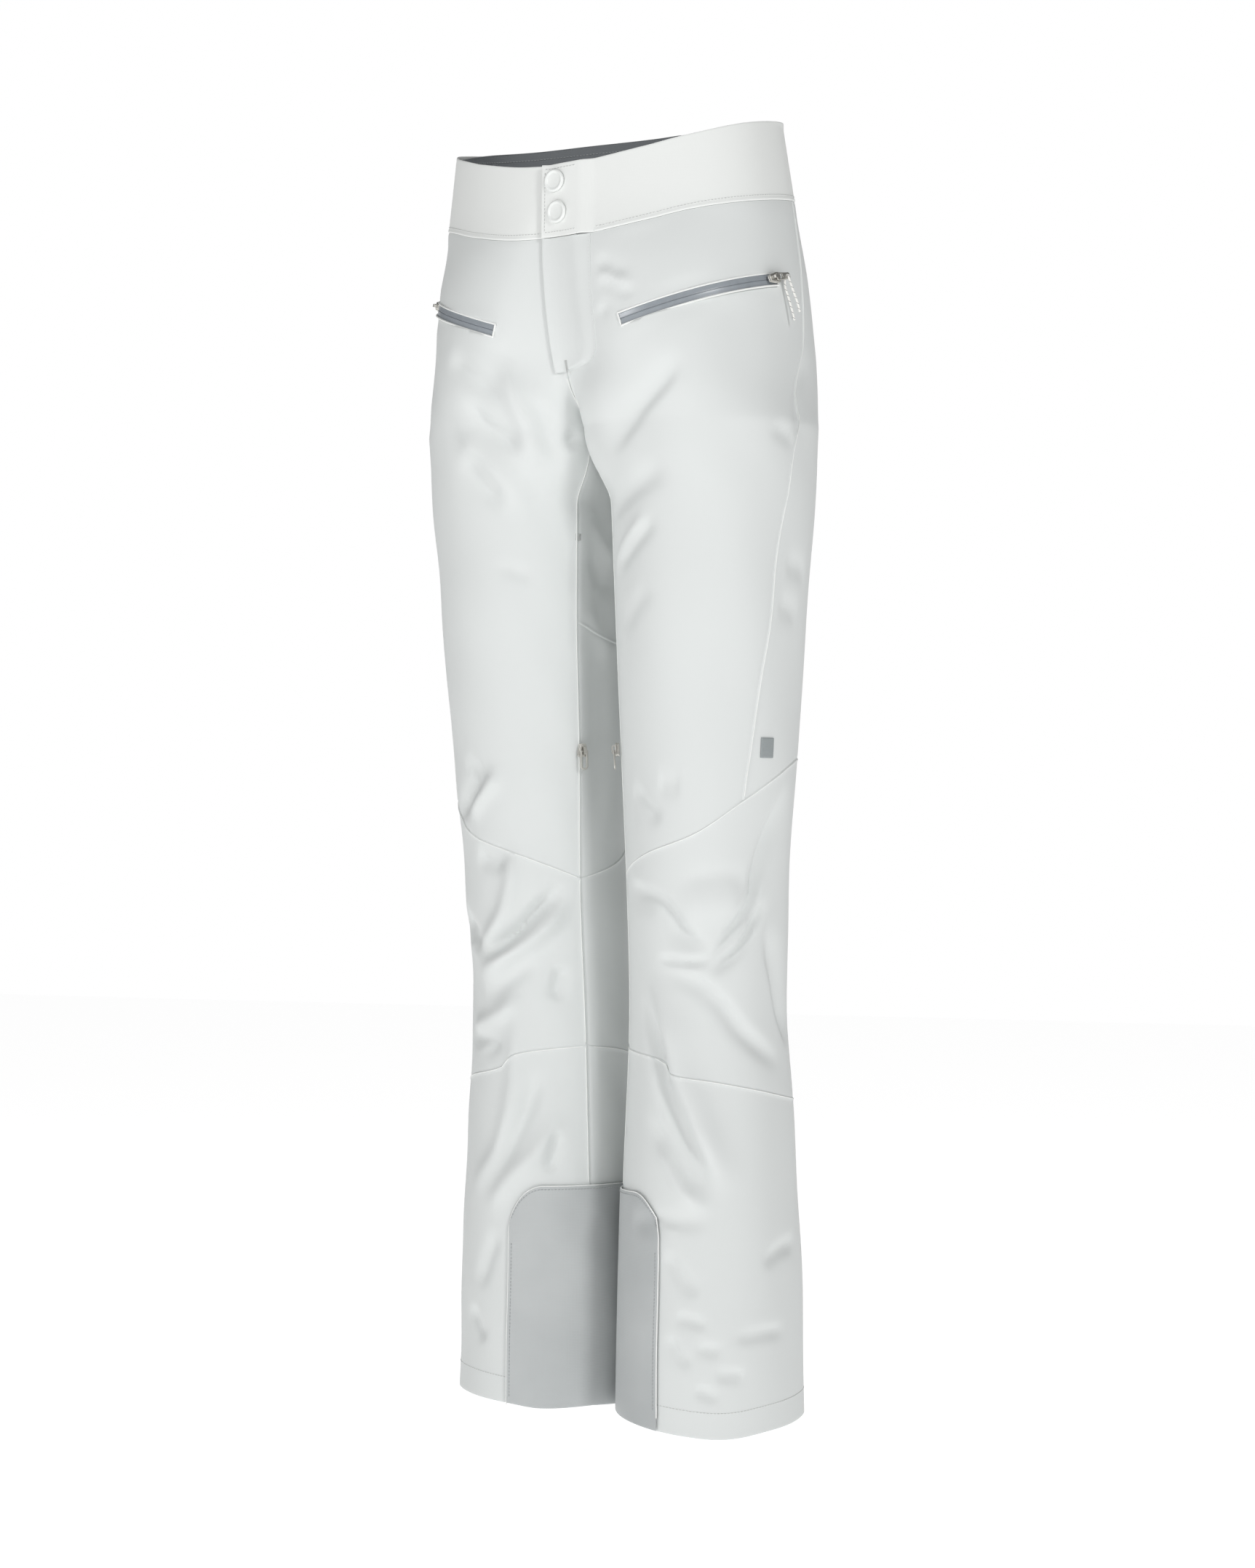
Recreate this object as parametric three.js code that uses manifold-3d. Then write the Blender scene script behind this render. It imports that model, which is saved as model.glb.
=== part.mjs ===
// Ski trousers: shell panels, waistband with a snapped tab, zipped fly, hip pockets,
// thigh vents, scuff guards and inner gaiters. Millimetres, +Z up, front towards -Y,
// the wearer's left at +X, and the origin at the middle of the waist.
//
// The garment is one surface for each half. A point of it is (t, h): h is the height above
// the hem, and t runs round the half at that height from the centre front or the inseam
// (0), over the side, to the centre back or the inseam again (1), in equal lengths of cloth.

import * as THREE from 'three';
import { mergeVertices } from 'three/addons/utils/BufferGeometryUtils.js';
import Module from 'manifold-3d';

const wasm = await Module();
wasm.setup();

// ---- Driving sizes ----

const inseam = 808;             // hem to crotch
const rise = 242;               // crotch to the top of the waistband at the side
const waistHalfWidth = 143;
const waistHalfDepth = 98;
const hipHalfWidth = 159;
const thighHalfWidth = 80;
const kneeHalfWidth = 64;
const hemHalfWidth = 74;
const fabric = 1.2;             // shell fabric with its backing
const bandFabric = 1.8;         // waistband, two plies with interfacing
const seamGap = 0.4;            // between the edges of two panels sewn together
const plyGap = 0.6;             // between two plies that lie on each other
const crotchGap = 2.2;          // at the crotch point, where four seams meet
const crotchFold = 45;          // height over which that gap closes again
const bandHeight = 57;          // waistband at the centre front
const hemDepth = 24;
const guardHeight = 192;        // scuff guard
const pocketLength = 138;
const pocketWindow = 10;        // slot in the panel that the zip shows through
const ventLength = 181;
const ventTop = 722;            // on the block of 808 inseam
const flyLength = 104;
const tabOverlap = 8;           // the tab's end past the centre front
const tabReach = 40;            // tab hinge line, from the centre front
const snapDiameter = 18.5;
const cordDiameter = 1.8;
const zipTapeThickness = 0.8;
const sliderLength = 11;
const sliderWidth = 8.4;
const sliderHeight = 3.2;
const pullThickness = 1.2;
const pocketPullLength = 15;
const ventPullLength = 16;
const gripperHeight = 10;
const gripperWidth = 3;

// ---- Grading ----
// Heights in the tables below are drawn on a block with these two lengths.

const blockInseam = 808;
const blockRise = 242;

function grade(height) {
  if (height <= blockInseam) return height * inseam / blockInseam;
  return inseam + (height - blockInseam) * rise / blockRise;
}

/** Smooth curve through [x, y] points, flat past its ends. */
function curve(points, x) {
  const last = points.length - 1;
  if (x <= points[0][0]) return points[0][1];
  if (x >= points[last][0]) return points[last][1];
  let k = 0;
  while (points[k + 1][0] < x) k += 1;
  const slope = (i) => {
    const a = points[Math.max(i - 1, 0)];
    const b = points[Math.min(i + 1, last)];
    return (b[1] - a[1]) / (b[0] - a[0]);
  };
  const step = points[k + 1][0] - points[k][0];
  const s = (x - points[k][0]) / step;
  const s2 = s * s;
  const s3 = s2 * s;
  return (2 * s3 - 3 * s2 + 1) * points[k][1] + (s3 - 2 * s2 + s) * step * slope(k)
    + (3 * s2 - 2 * s3) * points[k + 1][1] + (s3 - s2) * step * slope(k + 1);
}

const graded = (rows, column) => rows.map((row) => [grade(row[0]), row[column]]);
const gradedHeights = (rows) => rows.map(([t, height]) => [t, grade(height)]);
const smooth = (s) => s * s * (3 - 2 * s);
const clamp01 = (s) => Math.min(Math.max(s, 0), 1);
const mix = (a, b, s) => a + (b - a) * s;

// ---- Cross-sections ----
// Leg: height, centre x, centre y, half width, half depth.

const legRows = [
  [0, 78, 9, hemHalfWidth, 81],
  [90, 78, 9, hemHalfWidth - 1.5, 79],
  [200, 77.5, 8, 69, 74],
  [330, 77, 6.5, kneeHalfWidth - 1, 67],
  [430, 79, 2, kneeHalfWidth, 69],
  [540, 82, 0, kneeHalfWidth + 6, 75],
  [650, 85, -3, thighHalfWidth - 5, 82],
  [750, 87, -3, thighHalfWidth, 89],
  [808, 88, -4, thighHalfWidth + 2, 94],
];

// Hip: height, then x and y where the section is furthest forward, to the side and back,
// and y on the centre line at the front and the back.
const hipRows = [
  [808, 88, -98, 170, -4, 88, 90, -50, -50],
  [840, 78, -107, hipHalfWidth + 4, -3, 80, 106, -80, 40],
  [875, 64, -113, hipHalfWidth + 1, -2, 66, 114, -96, 90],
  [933, 42, -113, hipHalfWidth - 1, -3, 45, 109, -107, 106],
  [985, 15, -109, hipHalfWidth - 7, -5, 18, 98, -108, 97],
  [1050, 0, -8 - waistHalfDepth, waistHalfWidth, -8, 0, waistHalfDepth - 8, -106, 90],
];

const legTables = [1, 2, 3, 4].map((column) => graded(legRows, column));
const hipTables = [1, 2, 3, 4, 5, 6, 7, 8].map((column) => graded(hipRows, column));
const inseamTurn = THREE.MathUtils.degToRad(28);  // the inseam sits forward of the inner side
const crotchBlend = 60;         // height over which the leg closes to the crotch seam
const arcSteps = 16;

/** Four arcs of a section at height h: corner points with the direction of the path. */
function corners(h) {
  if (h >= inseam) {
    const [xf, yf, xs, ys, xb, yb, front, back] = hipTables.map((table) => curve(table, h));
    const open = smooth(clamp01((h - inseam) / crotchBlend));
    const turn = (Math.PI / 2) * (1 - open);
    return [
      [0, front, Math.cos(turn), -Math.sin(turn)],
      [xf, yf, 1, 0],
      [xs, ys, 0, 1],
      [xb, yb, -1, 0],
      [0, back, -Math.cos(turn), -Math.sin(turn)],
    ];
  }
  const [x, y, a, b] = legTables.map((table) => curve(table, h));
  const near = smooth(clamp01((h - inseam + crotchBlend) / crotchBlend));
  const turn = inseamTurn * (1 - near);
  const crotchY = hipRows[0][7];
  const innerX = mix(x - a * Math.cos(turn), 0, near);
  const innerY = mix(y - b * Math.sin(inseamTurn), crotchY, near);
  return [
    [innerX, innerY, Math.sin(turn), -Math.cos(turn)],
    [x, y - b, 1, 0],
    [x + a, y, 0, 1],
    [x, y + b, -1, 0],
    [innerX, innerY, Math.sin(turn), -Math.cos(turn)],
  ];
}

const sections = new Map();

/** Section at height h as a polyline with the length of cloth up to each point. */
function section(h) {
  const key = Math.round(h * 1e4);
  if (sections.has(key)) return sections.get(key);
  const turns = corners(h);
  const points = [];
  for (let k = 0; k < 4; k += 1) {
    const [ax, ay, adx, ady] = turns[k];
    const [bx, by, bdx, bdy] = turns[k + 1];
    const chord = Math.hypot(bx - ax, by - ay);
    const bend = Math.max(Math.acos(Math.min(Math.max(adx * bdx + ady * bdy, -1), 1)), 0.06);
    const handle = chord * (2 / 3) * Math.tan(bend / 4) / Math.sin(bend / 2);
    const arc = new THREE.CubicBezierCurve(
      new THREE.Vector2(ax, ay),
      new THREE.Vector2(ax + adx * handle, ay + ady * handle),
      new THREE.Vector2(bx - bdx * handle, by - bdy * handle),
      new THREE.Vector2(bx, by),
    );
    const steps = arc.getPoints(arcSteps);
    points.push(...(k ? steps.slice(1) : steps));
  }
  const lengths = [0];
  for (let i = 1; i < points.length; i += 1) {
    lengths.push(lengths[i - 1] + points[i].distanceTo(points[i - 1]));
  }
  const result = { points, lengths, length: lengths[lengths.length - 1] };
  sections.set(key, result);
  return result;
}

/** Point of the wearer's left half. Past 0 or 1 it goes on over the centre or inseam. */
function onSurface(t, h) {
  let side = 1;
  let s = t;
  if (h >= inseam && (t < 0 || t > 1)) {
    side = -1;
    s = t < 0 ? -t : 2 - t;
  } else if (h < inseam) {
    s = t - Math.floor(t);
  }
  const { points, lengths, length } = section(h);
  const want = s * length;
  let k = 0;
  while (k < points.length - 2 && lengths[k + 1] < want) k += 1;
  const f = (want - lengths[k]) / (lengths[k + 1] - lengths[k]);
  const x = mix(points[k].x, points[k + 1].x, f);
  return new THREE.Vector3(side * Math.max(x, 0), mix(points[k].y, points[k + 1].y, f), h);
}

function outward(t, h) {
  const along = onSurface(t + 0.006, h).sub(onSurface(t - 0.006, h));
  const up = onSurface(t, h + 3).sub(onSurface(t, h - 3));
  return along.cross(up).normalize();
}

/** Point at a distance out from the surface. */
function offPoint(t, h, distance) {
  return onSurface(t, h).addScaledVector(outward(t, h), distance);
}

// ---- Solids ----

/** Closed slab of columns by rows. at(j, i, k) gives its inner (k 0) and outer (k 1) points. */
function slab(columns, rows, at, ring = false) {
  const positions = [];
  const index = [];
  const wide = ring ? columns : columns + 1;
  for (let k = 0; k < 2; k += 1) {
    for (let i = 0; i <= rows; i += 1) {
      for (let j = 0; j < wide; j += 1) positions.push(...at(j, i, k).toArray());
    }
  }
  const id = (j, i, k) => (k * (rows + 1) + i) * wide + (j % wide);
  const quad = (a, b, c, d) => index.push(a, b, c, a, c, d);
  for (let j = 0; j < columns; j += 1) {
    for (let i = 0; i < rows; i += 1) {
      quad(id(j, i, 1), id(j + 1, i, 1), id(j + 1, i + 1, 1), id(j, i + 1, 1));
      quad(id(j, i, 0), id(j, i + 1, 0), id(j + 1, i + 1, 0), id(j + 1, i, 0));
    }
    quad(id(j, 0, 0), id(j + 1, 0, 0), id(j + 1, 0, 1), id(j, 0, 1));
    quad(id(j, rows, 0), id(j, rows, 1), id(j + 1, rows, 1), id(j + 1, rows, 0));
  }
  for (let i = 0; i < rows && !ring; i += 1) {
    quad(id(0, i, 0), id(0, i, 1), id(0, i + 1, 1), id(0, i + 1, 0));
    quad(id(columns, i, 0), id(columns, i + 1, 0), id(columns, i + 1, 1), id(columns, i, 1));
  }
  const geometry = new THREE.BufferGeometry();
  geometry.setAttribute('position', new THREE.Float32BufferAttribute(positions, 3));
  geometry.setIndex(index);
  return geometry;
}

/** Half the gap at a side edge; at the crotch, where four panels fold together, it widens. */
function edgeGap(t, h) {
  const fold = clamp01(1 - Math.abs(h - inseam) / crotchFold);
  return seamGap / 2 + (t < 0.01 || t > 0.99 ? crotchGap * fold : 0);
}

/**
 * Panel of cloth between the distances inner and outer from the surface.
 * column(s, h) gives t and row(s, t) gives h, for s from 0 to 1; edges pull in by half a gap.
 */
function panel({ columns, rows, column, row, inner, outer, ring = false, hemmed = false }) {
  const solve = (j, i) => {
    let h = row(i / rows, column(j / columns, inseam / 2));
    let t = column(j / columns, h);
    for (let pass = 0; pass < 6; pass += 1) {
      h = row(i / rows, t);
      t = column(j / columns, h);
    }
    if (!ring && j === 0) t += edgeGap(t, h) / section(h).length;
    if (!ring && j === columns) t -= edgeGap(t, h) / section(h).length;
    if (i === 0 && !hemmed) h += seamGap / 2;
    if (i === rows) h -= seamGap / 2;
    return [t, h];
  };
  return slab(columns, rows, (j, i, k) => offPoint(...solve(j, i), k ? outer : inner), ring);
}

function mirrored(geometry) {
  const copy = geometry.clone();
  copy.scale(-1, 1, 1);
  const index = copy.getIndex();
  for (let i = 0; i < index.count; i += 3) {
    const swap = index.getX(i + 1);
    index.setX(i + 1, index.getX(i + 2));
    index.setX(i + 2, swap);
  }
  return copy;
}

function toManifold(geometry) {
  const bare = geometry.clone();
  bare.deleteAttribute('normal');
  bare.deleteAttribute('uv');
  const merged = mergeVertices(bare, 1e-4);
  return new wasm.Manifold(new wasm.Mesh({
    numProp: 3,
    vertProperties: new Float32Array(merged.getAttribute('position').array),
    triVerts: new Uint32Array(merged.getIndex().array),
  }));
}

function fromManifold(solid) {
  const mesh = solid.getMesh();
  const geometry = new THREE.BufferGeometry();
  geometry.setAttribute('position', new THREE.BufferAttribute(mesh.vertProperties, 3));
  geometry.setIndex(new THREE.BufferAttribute(mesh.triVerts, 1));
  return geometry;
}

const cut = (body, tool) => fromManifold(toManifold(body).subtract(toManifold(tool)));
const join = (body, extra) => fromManifold(toManifold(body).add(toManifold(extra)));

// ---- Colours ----

const shellWhite = { color: 0xe6e9e8, roughness: 0.7, metalness: 0 };
const bandWhite = { color: 0xe9ebea, roughness: 0.72, metalness: 0 };
const guardGrey = { color: 0xc8cbca, roughness: 0.75, metalness: 0 };
const liningGrey = { color: 0x777b7f, roughness: 0.9, metalness: 0 };
const zipGrey = { color: 0x8b9096, roughness: 0.35, metalness: 0 };
const plated = { color: 0xd5d6d4, roughness: 0.3, metalness: 0.9 };
const snapWhite = { color: 0xe4e7e5, roughness: 0.35, metalness: 0 };
const meshGrey = { color: 0xb4b8ba, roughness: 0.85, metalness: 0 };
const elasticGrey = { color: 0x5b5e62, roughness: 0.8, metalness: 0 };
const cordWhite = { color: 0xdcdcd8, roughness: 0.85, metalness: 0 };
const patchGrey = { color: 0x929898, roughness: 0.6, metalness: 0 };

const garment = new THREE.Group();
garment.position.z = -(inseam + rise);

function add(name, geometry, finish) {
  const mesh = new THREE.Mesh(geometry, new THREE.MeshStandardMaterial(finish));
  mesh.name = name;
  garment.add(mesh);
  return mesh;
}

/** Adds a piece drawn on the left half to one side of the garment. */
function addSide(side, name, geometry, finish) {
  add(`${side}_${name}`, side === 'left' ? geometry : mirrored(geometry), finish);
}

// ---- Seams: t against height, or height against t ----

const waistSeam = gradedHeights([
  [0, 955], [0.09, 956], [0.2, 964], [0.28, 972], [0.37, 979], [0.5, 987], [0.65, 994],
  [0.8, 1000], [1, 1003],
]);
const rimAboveSeam = [[0, 1], [0.1, 3], [0.3, 3], [0.42, 6], [0.6, 7], [1, 7]];
const rim = (t) => curve(waistSeam, t) + bandHeight + curve(rimAboveSeam, t);
const thighSeam = gradedHeights([[0, 648], [0.6, 636], [0.85, 636], [0.92, 638], [1, 652]]);
const kneeUpper = gradedHeights([
  [0, 444], [0.125, 464], [0.23, 480], [0.32, 506], [0.436, 535], [0.55, 540], [0.67, 515],
  [0.8, 480], [0.9, 457], [1, 444],
]);
const kneeLower = gradedHeights([
  [0, 307], [0.09, 304], [0.15, 299], [0.18, 289], [0.27, 282], [0.486, 266], [0.6, 267],
  [0.75, 285], [0.9, 302], [1, 307],
]);
const hemLine = {
  left: [[0, 12], [0.1, 8], [0.2, 1], [0.28, -2], [0.37, 3], [0.5, 8], [0.7, 5], [0.85, 8],
    [1, 12]],
  right: [[0, 12], [0.09, 11], [0.15, 15], [0.28, 21], [0.4, 18], [0.55, 13], [0.75, 9],
    [1, 12]],
};
const swap = (rows) => rows.map(([height, t]) => [grade(height), t]);
const sideSeam = swap([
  [0, 0.3], [508, 0.319], [549, 0.329], [601, 0.343], [649, 0.359], [704, 0.367],
  [759, 0.388], [792, 0.417], [825, 0.458], [873, 0.529], [930, 0.55], [985, 0.56],
]);
const backSideSeam = swap([[0, 0.6], [508, 0.6], [820, 0.66], [985, 0.68]]);

const flyBottom = grade(850);
const flyFacing = swap([[850, 0], [856, 0.066], [871, 0.09], [907, 0.091], [955, 0.089]]);

// ---- Shell panels ----

const frontColumns = 8;
const sideColumns = 3;
const backColumns = 7;
const upperRows = 6;            // waist seam to crotch
const thighRows = 3;            // crotch to thigh seam
const lowThighRows = 3;         // thigh seam to upper knee seam
const kneeRows = 5;
const shinRows = 5;
const rowTotal = upperRows + thighRows + lowThighRows;

/** Height of the row line that is a share s of the way up from the knee seam to the waist. */
function upperRow(s, t) {
  const k = s * rowTotal;
  if (k <= lowThighRows) return mix(curve(kneeUpper, t), curve(thighSeam, t), k / lowThighRows);
  const above = k - lowThighRows;
  if (above <= thighRows) return mix(curve(thighSeam, t), inseam, above / thighRows);
  const share = ((above - thighRows) / upperRows) ** 1.5;
  return mix(inseam, curve(waistSeam, t), share);
}
const seatRow = (s, t) => upperRow(mix(lowThighRows / rowTotal, 1, s), t);
const backThighRow = (s, t) => upperRow(mix(0, lowThighRows / rowTotal, s), t);
const kneeRow = (s, t) => mix(curve(kneeLower, t), curve(kneeUpper, t), s);
const shinRow = (side) => (s, t) => mix(curve(hemLine[side], t), curve(kneeLower, t), s);

const frontEdge = (side, h) => (side === 'left' && h > flyBottom ? curve(flyFacing, h) : 0);
const frontColumn = (side) => (s, h) => mix(frontEdge(side, h), curve(sideSeam, h), s);
const sideColumn = (s, h) => mix(curve(sideSeam, h), curve(backSideSeam, h), s);
const backColumn = (s, h) => mix(curve(backSideSeam, h), 1, s);
const frontShare = frontColumns / (frontColumns + sideColumns);

/** Front and side columns in one run, so that edges meet those of the panels above. */
function wrapColumn(s, h) {
  if (s <= frontShare) return frontColumn('right')(s / frontShare, h);
  return sideColumn((s - frontShare) / (1 - frontShare), h);
}

// ---- Zips along an arc through three points of the surface ----

/** Circle through three points: centre, radius and the angle swept from the first. */
function arcThrough(p1, p2, p3) {
  const a = p2.clone().sub(p1);
  const b = p3.clone().sub(p1);
  const axis = a.clone().cross(b).normalize();
  const top = b.clone().multiplyScalar(a.lengthSq()).sub(a.clone().multiplyScalar(b.lengthSq()));
  const centre = top.cross(a.clone().cross(b)).divideScalar(2 * a.clone().cross(b).lengthSq());
  centre.add(p1);
  const first = p1.clone().sub(centre);
  const last = p3.clone().sub(centre);
  return { centre, axis, radius: first.length(), first: first.normalize(),
    sweep: first.angleTo(last) };
}

/** Frame on the arc: along it, across it and out from it. */
function arcFrame(arc, angle) {
  const out = arc.first.clone().applyAxisAngle(arc.axis, angle);
  const along = arc.axis.clone().cross(out);
  return { out, along, across: arc.axis.clone() };
}

/** Slab along the arc, between two distances out from it. */
function arcSlab(arc, from, to, width, low, high, steps) {
  return slab(steps, 1, (j, i, k) => {
    const { out, across } = arcFrame(arc, mix(from, to, j / steps));
    return arc.centre.clone()
      .addScaledVector(out, arc.radius + (k ? high : low))
      .addScaledVector(across, (i - 0.5) * width);
  });
}

const pocketHeights = [885, 904, 921].map(grade);
const pocketInner = { left: 0.149, right: 0.12 };
const pocketMiddleShare = 0.45;

function pocketArc(side) {
  const start = pocketInner[side];
  const end = start + pocketLength / section(pocketHeights[1]).length;
  const [low, middle, high] = pocketHeights;
  return arcThrough(
    onSurface(start, low),
    onSurface(mix(start, end, pocketMiddleShare), middle),
    onSurface(end, high),
  );
}

// ---- Slider and pulls: x along the zip towards the pull, z out from the cloth ----

const archWidth = 2.4;
const archHalfLength = 3.6;
const archThickness = 1.2;
const archRise = 3.2;
const barX = 1;
const barZ = sliderHeight + 1;
const pullClearance = 0.6;

function extruded(shape, depth, segments = 6) {
  return new THREE.ExtrudeGeometry(shape, { depth, bevelEnabled: false, curveSegments: segments });
}

function sliderGeometry() {
  const half = sliderLength / 2;
  const wide = sliderWidth / 2;
  const body = new THREE.Shape();
  body.moveTo(-half, -wide * 0.62);
  body.lineTo(half * 0.4, -wide);
  body.quadraticCurveTo(half, -wide, half, -wide * 0.4);
  body.lineTo(half, wide * 0.4);
  body.quadraticCurveTo(half, wide, half * 0.4, wide);
  body.lineTo(-half, wide * 0.62);
  body.closePath();
  const arch = new THREE.Shape();
  arch.moveTo(-archHalfLength, -0.4);
  arch.lineTo(-archHalfLength + archThickness, -0.4);
  arch.lineTo(-archHalfLength + archThickness, archRise - archThickness);
  arch.lineTo(archHalfLength - archThickness, archRise - archThickness);
  arch.lineTo(archHalfLength - archThickness, -0.4);
  arch.lineTo(archHalfLength, -0.4);
  arch.lineTo(archHalfLength, archRise * 0.7);
  arch.lineTo(archHalfLength - archThickness, archRise);
  arch.lineTo(-archHalfLength + archThickness, archRise);
  arch.lineTo(-archHalfLength, archRise * 0.7);
  arch.closePath();
  const bridge = extruded(arch, archWidth);
  bridge.rotateX(Math.PI / 2);
  bridge.translate(0, archWidth / 2, sliderHeight);
  return join(extruded(body, sliderHeight), bridge);
}

const pullBar = 1.2;
const windowHalf = archWidth / 2 + pullClearance;
const pullHalf = windowHalf + 1.4;
const cordHole = cordDiameter / 2 + 0.5;
const cordHoleX = barX + pocketPullLength - 3.2;

/** Flat plate pull with a window round the slider's bridge and a hole for the cord. */
function pocketPullGeometry() {
  const tip = barX + pocketPullLength;
  const plate = new THREE.Shape();
  plate.moveTo(barX - pullBar / 2, -pullHalf);
  plate.lineTo(tip - 2, -pullHalf * 0.82);
  plate.quadraticCurveTo(tip, -pullHalf * 0.8, tip, 0);
  plate.quadraticCurveTo(tip, pullHalf * 0.8, tip - 2, pullHalf * 0.82);
  plate.lineTo(barX - pullBar / 2, pullHalf);
  plate.closePath();
  const window = new THREE.Path();
  window.moveTo(barX + pullBar / 2, -windowHalf);
  window.lineTo(barX + pullBar / 2 + 5.4, -windowHalf);
  window.lineTo(barX + pullBar / 2 + 5.4, windowHalf);
  window.lineTo(barX + pullBar / 2, windowHalf);
  window.closePath();
  const hole = new THREE.Path();
  hole.absarc(cordHoleX, 0, cordHole, 0, Math.PI * 2, true);
  plate.holes.push(window, hole);
  const geometry = extruded(plate, pullThickness);
  geometry.translate(0, 0, barZ - pullThickness / 2);
  return geometry;
}

/** Oval ring pull. */
function ventPullGeometry() {
  const start = barX - pullBar / 2;
  const half = pullHalf + 0.5;
  const round = start + ventPullLength - half;
  const outline = (shape, from, radius) => {
    shape.moveTo(from, -radius);
    shape.lineTo(round, -radius);
    shape.absarc(round, 0, radius, -Math.PI / 2, Math.PI / 2, false);
    shape.lineTo(from, radius);
    shape.closePath();
    return shape;
  };
  const ring = outline(new THREE.Shape(), start, half);
  ring.holes.push(outline(new THREE.Path(), start + pullBar, windowHalf));
  const geometry = extruded(ring, pullThickness, 10);
  geometry.translate(0, 0, barZ - pullThickness / 2);
  return geometry;
}

/** Group at a point with x along, and z out. */
function place(point, along, out) {
  const group = new THREE.Group();
  const basis = new THREE.Matrix4();
  basis.makeBasis(along, out.clone().cross(along), out);
  group.applyMatrix4(basis);
  group.position.copy(point);
  garment.add(group);
  return group;
}

function addIn(group, name, geometry, finish) {
  const mesh = new THREE.Mesh(geometry, new THREE.MeshStandardMaterial(finish));
  mesh.name = name;
  group.add(mesh);
}

function flipX(vector) {
  return new THREE.Vector3(-vector.x, vector.y, vector.z);
}

// ---- Both sides ----

const pocketSlider = 2.2;       // slider above the panel, clear of it along the whole arc
const pocketMargin = 7;         // slider centre from the end of the zip
const ventSlider = 2;
const bagDepth = 140;
const bagGap = 6;               // pocket bag behind the panel
const ventGap = 2.6;            // vent tape behind the seam
const guardEdge = { left: 0.164, right: 0.148 };
const guardBack = -0.16;
const guardCorner = 40;

function addShell(side) {
  const arc = pocketArc(side);
  const slot = arcSlab(arc, 0, arc.sweep, pocketWindow, -14, 14, 12);
  const front = panel({ columns: frontColumns, rows: rowTotal, column: frontColumn(side),
    row: upperRow, inner: -fabric, outer: 0 });
  addSide(side, 'front_thigh', cut(front, slot), shellWhite);
  addSide(side, 'side_panel', panel({ columns: sideColumns, rows: rowTotal, column: sideColumn,
    row: upperRow, inner: -fabric, outer: 0 }), shellWhite);
  addSide(side, 'seat', panel({ columns: backColumns, rows: upperRows + thighRows,
    column: backColumn, row: seatRow, inner: -fabric, outer: 0 }), shellWhite);
  addSide(side, 'back_thigh', panel({ columns: backColumns, rows: lowThighRows,
    column: backColumn, row: backThighRow, inner: -fabric, outer: 0 }), shellWhite);
  const wrap = frontColumns + sideColumns;
  addSide(side, 'knee_front', panel({ columns: wrap, rows: kneeRows, column: wrapColumn,
    row: kneeRow, inner: -fabric, outer: 0 }), shellWhite);
  addSide(side, 'knee_back', panel({ columns: backColumns, rows: kneeRows, column: backColumn,
    row: kneeRow, inner: -fabric, outer: 0 }), shellWhite);
  addSide(side, 'shin_front', panel({ columns: wrap, rows: shinRows, column: wrapColumn,
    row: shinRow(side), inner: -fabric, outer: 0, hemmed: true }), shellWhite);
  addSide(side, 'shin_back', panel({ columns: backColumns, rows: shinRows, column: backColumn,
    row: shinRow(side), inner: -fabric, outer: 0, hemmed: true }), shellWhite);
}

function addHem(side) {
  const outer = -fabric - plyGap;
  addSide(side, 'hem_facing', panel({ columns: 18, rows: 1, ring: true, hemmed: true,
    column: (s, h) => (s < 11 / 18 ? wrapColumn(s * 18 / 11, h) : backColumn((s * 18 - 11) / 7, h)),
    row: (s, t) => curve(hemLine[side], t) + hemDepth * s,
    inner: outer - fabric, outer }), shellWhite);
  const edge = guardEdge[side];
  const top = (t) => {
    const near = clamp01((t - (edge - 0.06)) / 0.06);
    return grade(guardHeight) - guardCorner * (1 - Math.sqrt(1 - 0.98 * near * near));
  };
  addSide(side, 'scuff_guard', panel({ columns: 9, rows: 4, hemmed: true,
    column: (s) => mix(guardBack, edge, s),
    row: (s, t) => mix(curve(hemLine[side], t < 0 ? t + 1 : t) + 0.5, top(t), s),
    inner: plyGap + 1, outer: plyGap + 1 + fabric }), guardGrey);
}

const gaiterTop = grade(225);
const gaiterBottom = grade(34);
const gripperInset = 15;
const gaiterColumns = 16;
const gaiterRows = 2;

function addGaiter(side) {
  const inset = (s) => mix(gripperInset + 2, 5, s);
  addSide(side, 'gaiter', slab(gaiterColumns, gaiterRows, (j, i, k) => offPoint(
    j / gaiterColumns,
    mix(gaiterBottom, gaiterTop, i / gaiterRows),
    -inset(i / gaiterRows) - (k ? 0 : fabric / 2),
  ), true), meshGrey);
  const bottom = gaiterBottom - gripperHeight - seamGap;
  addSide(side, 'gaiter_gripper', slab(gaiterColumns, 1, (j, i, k) => {
    const point = offPoint(j / gaiterColumns, gaiterBottom, -gripperInset - (k ? 0 : gripperWidth));
    point.z = bottom + i * gripperHeight;
    return point;
  }, true), elasticGrey);
}

const cordSteps = 26;
const cordStrands = { outer: 28, inner: 35 };

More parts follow.
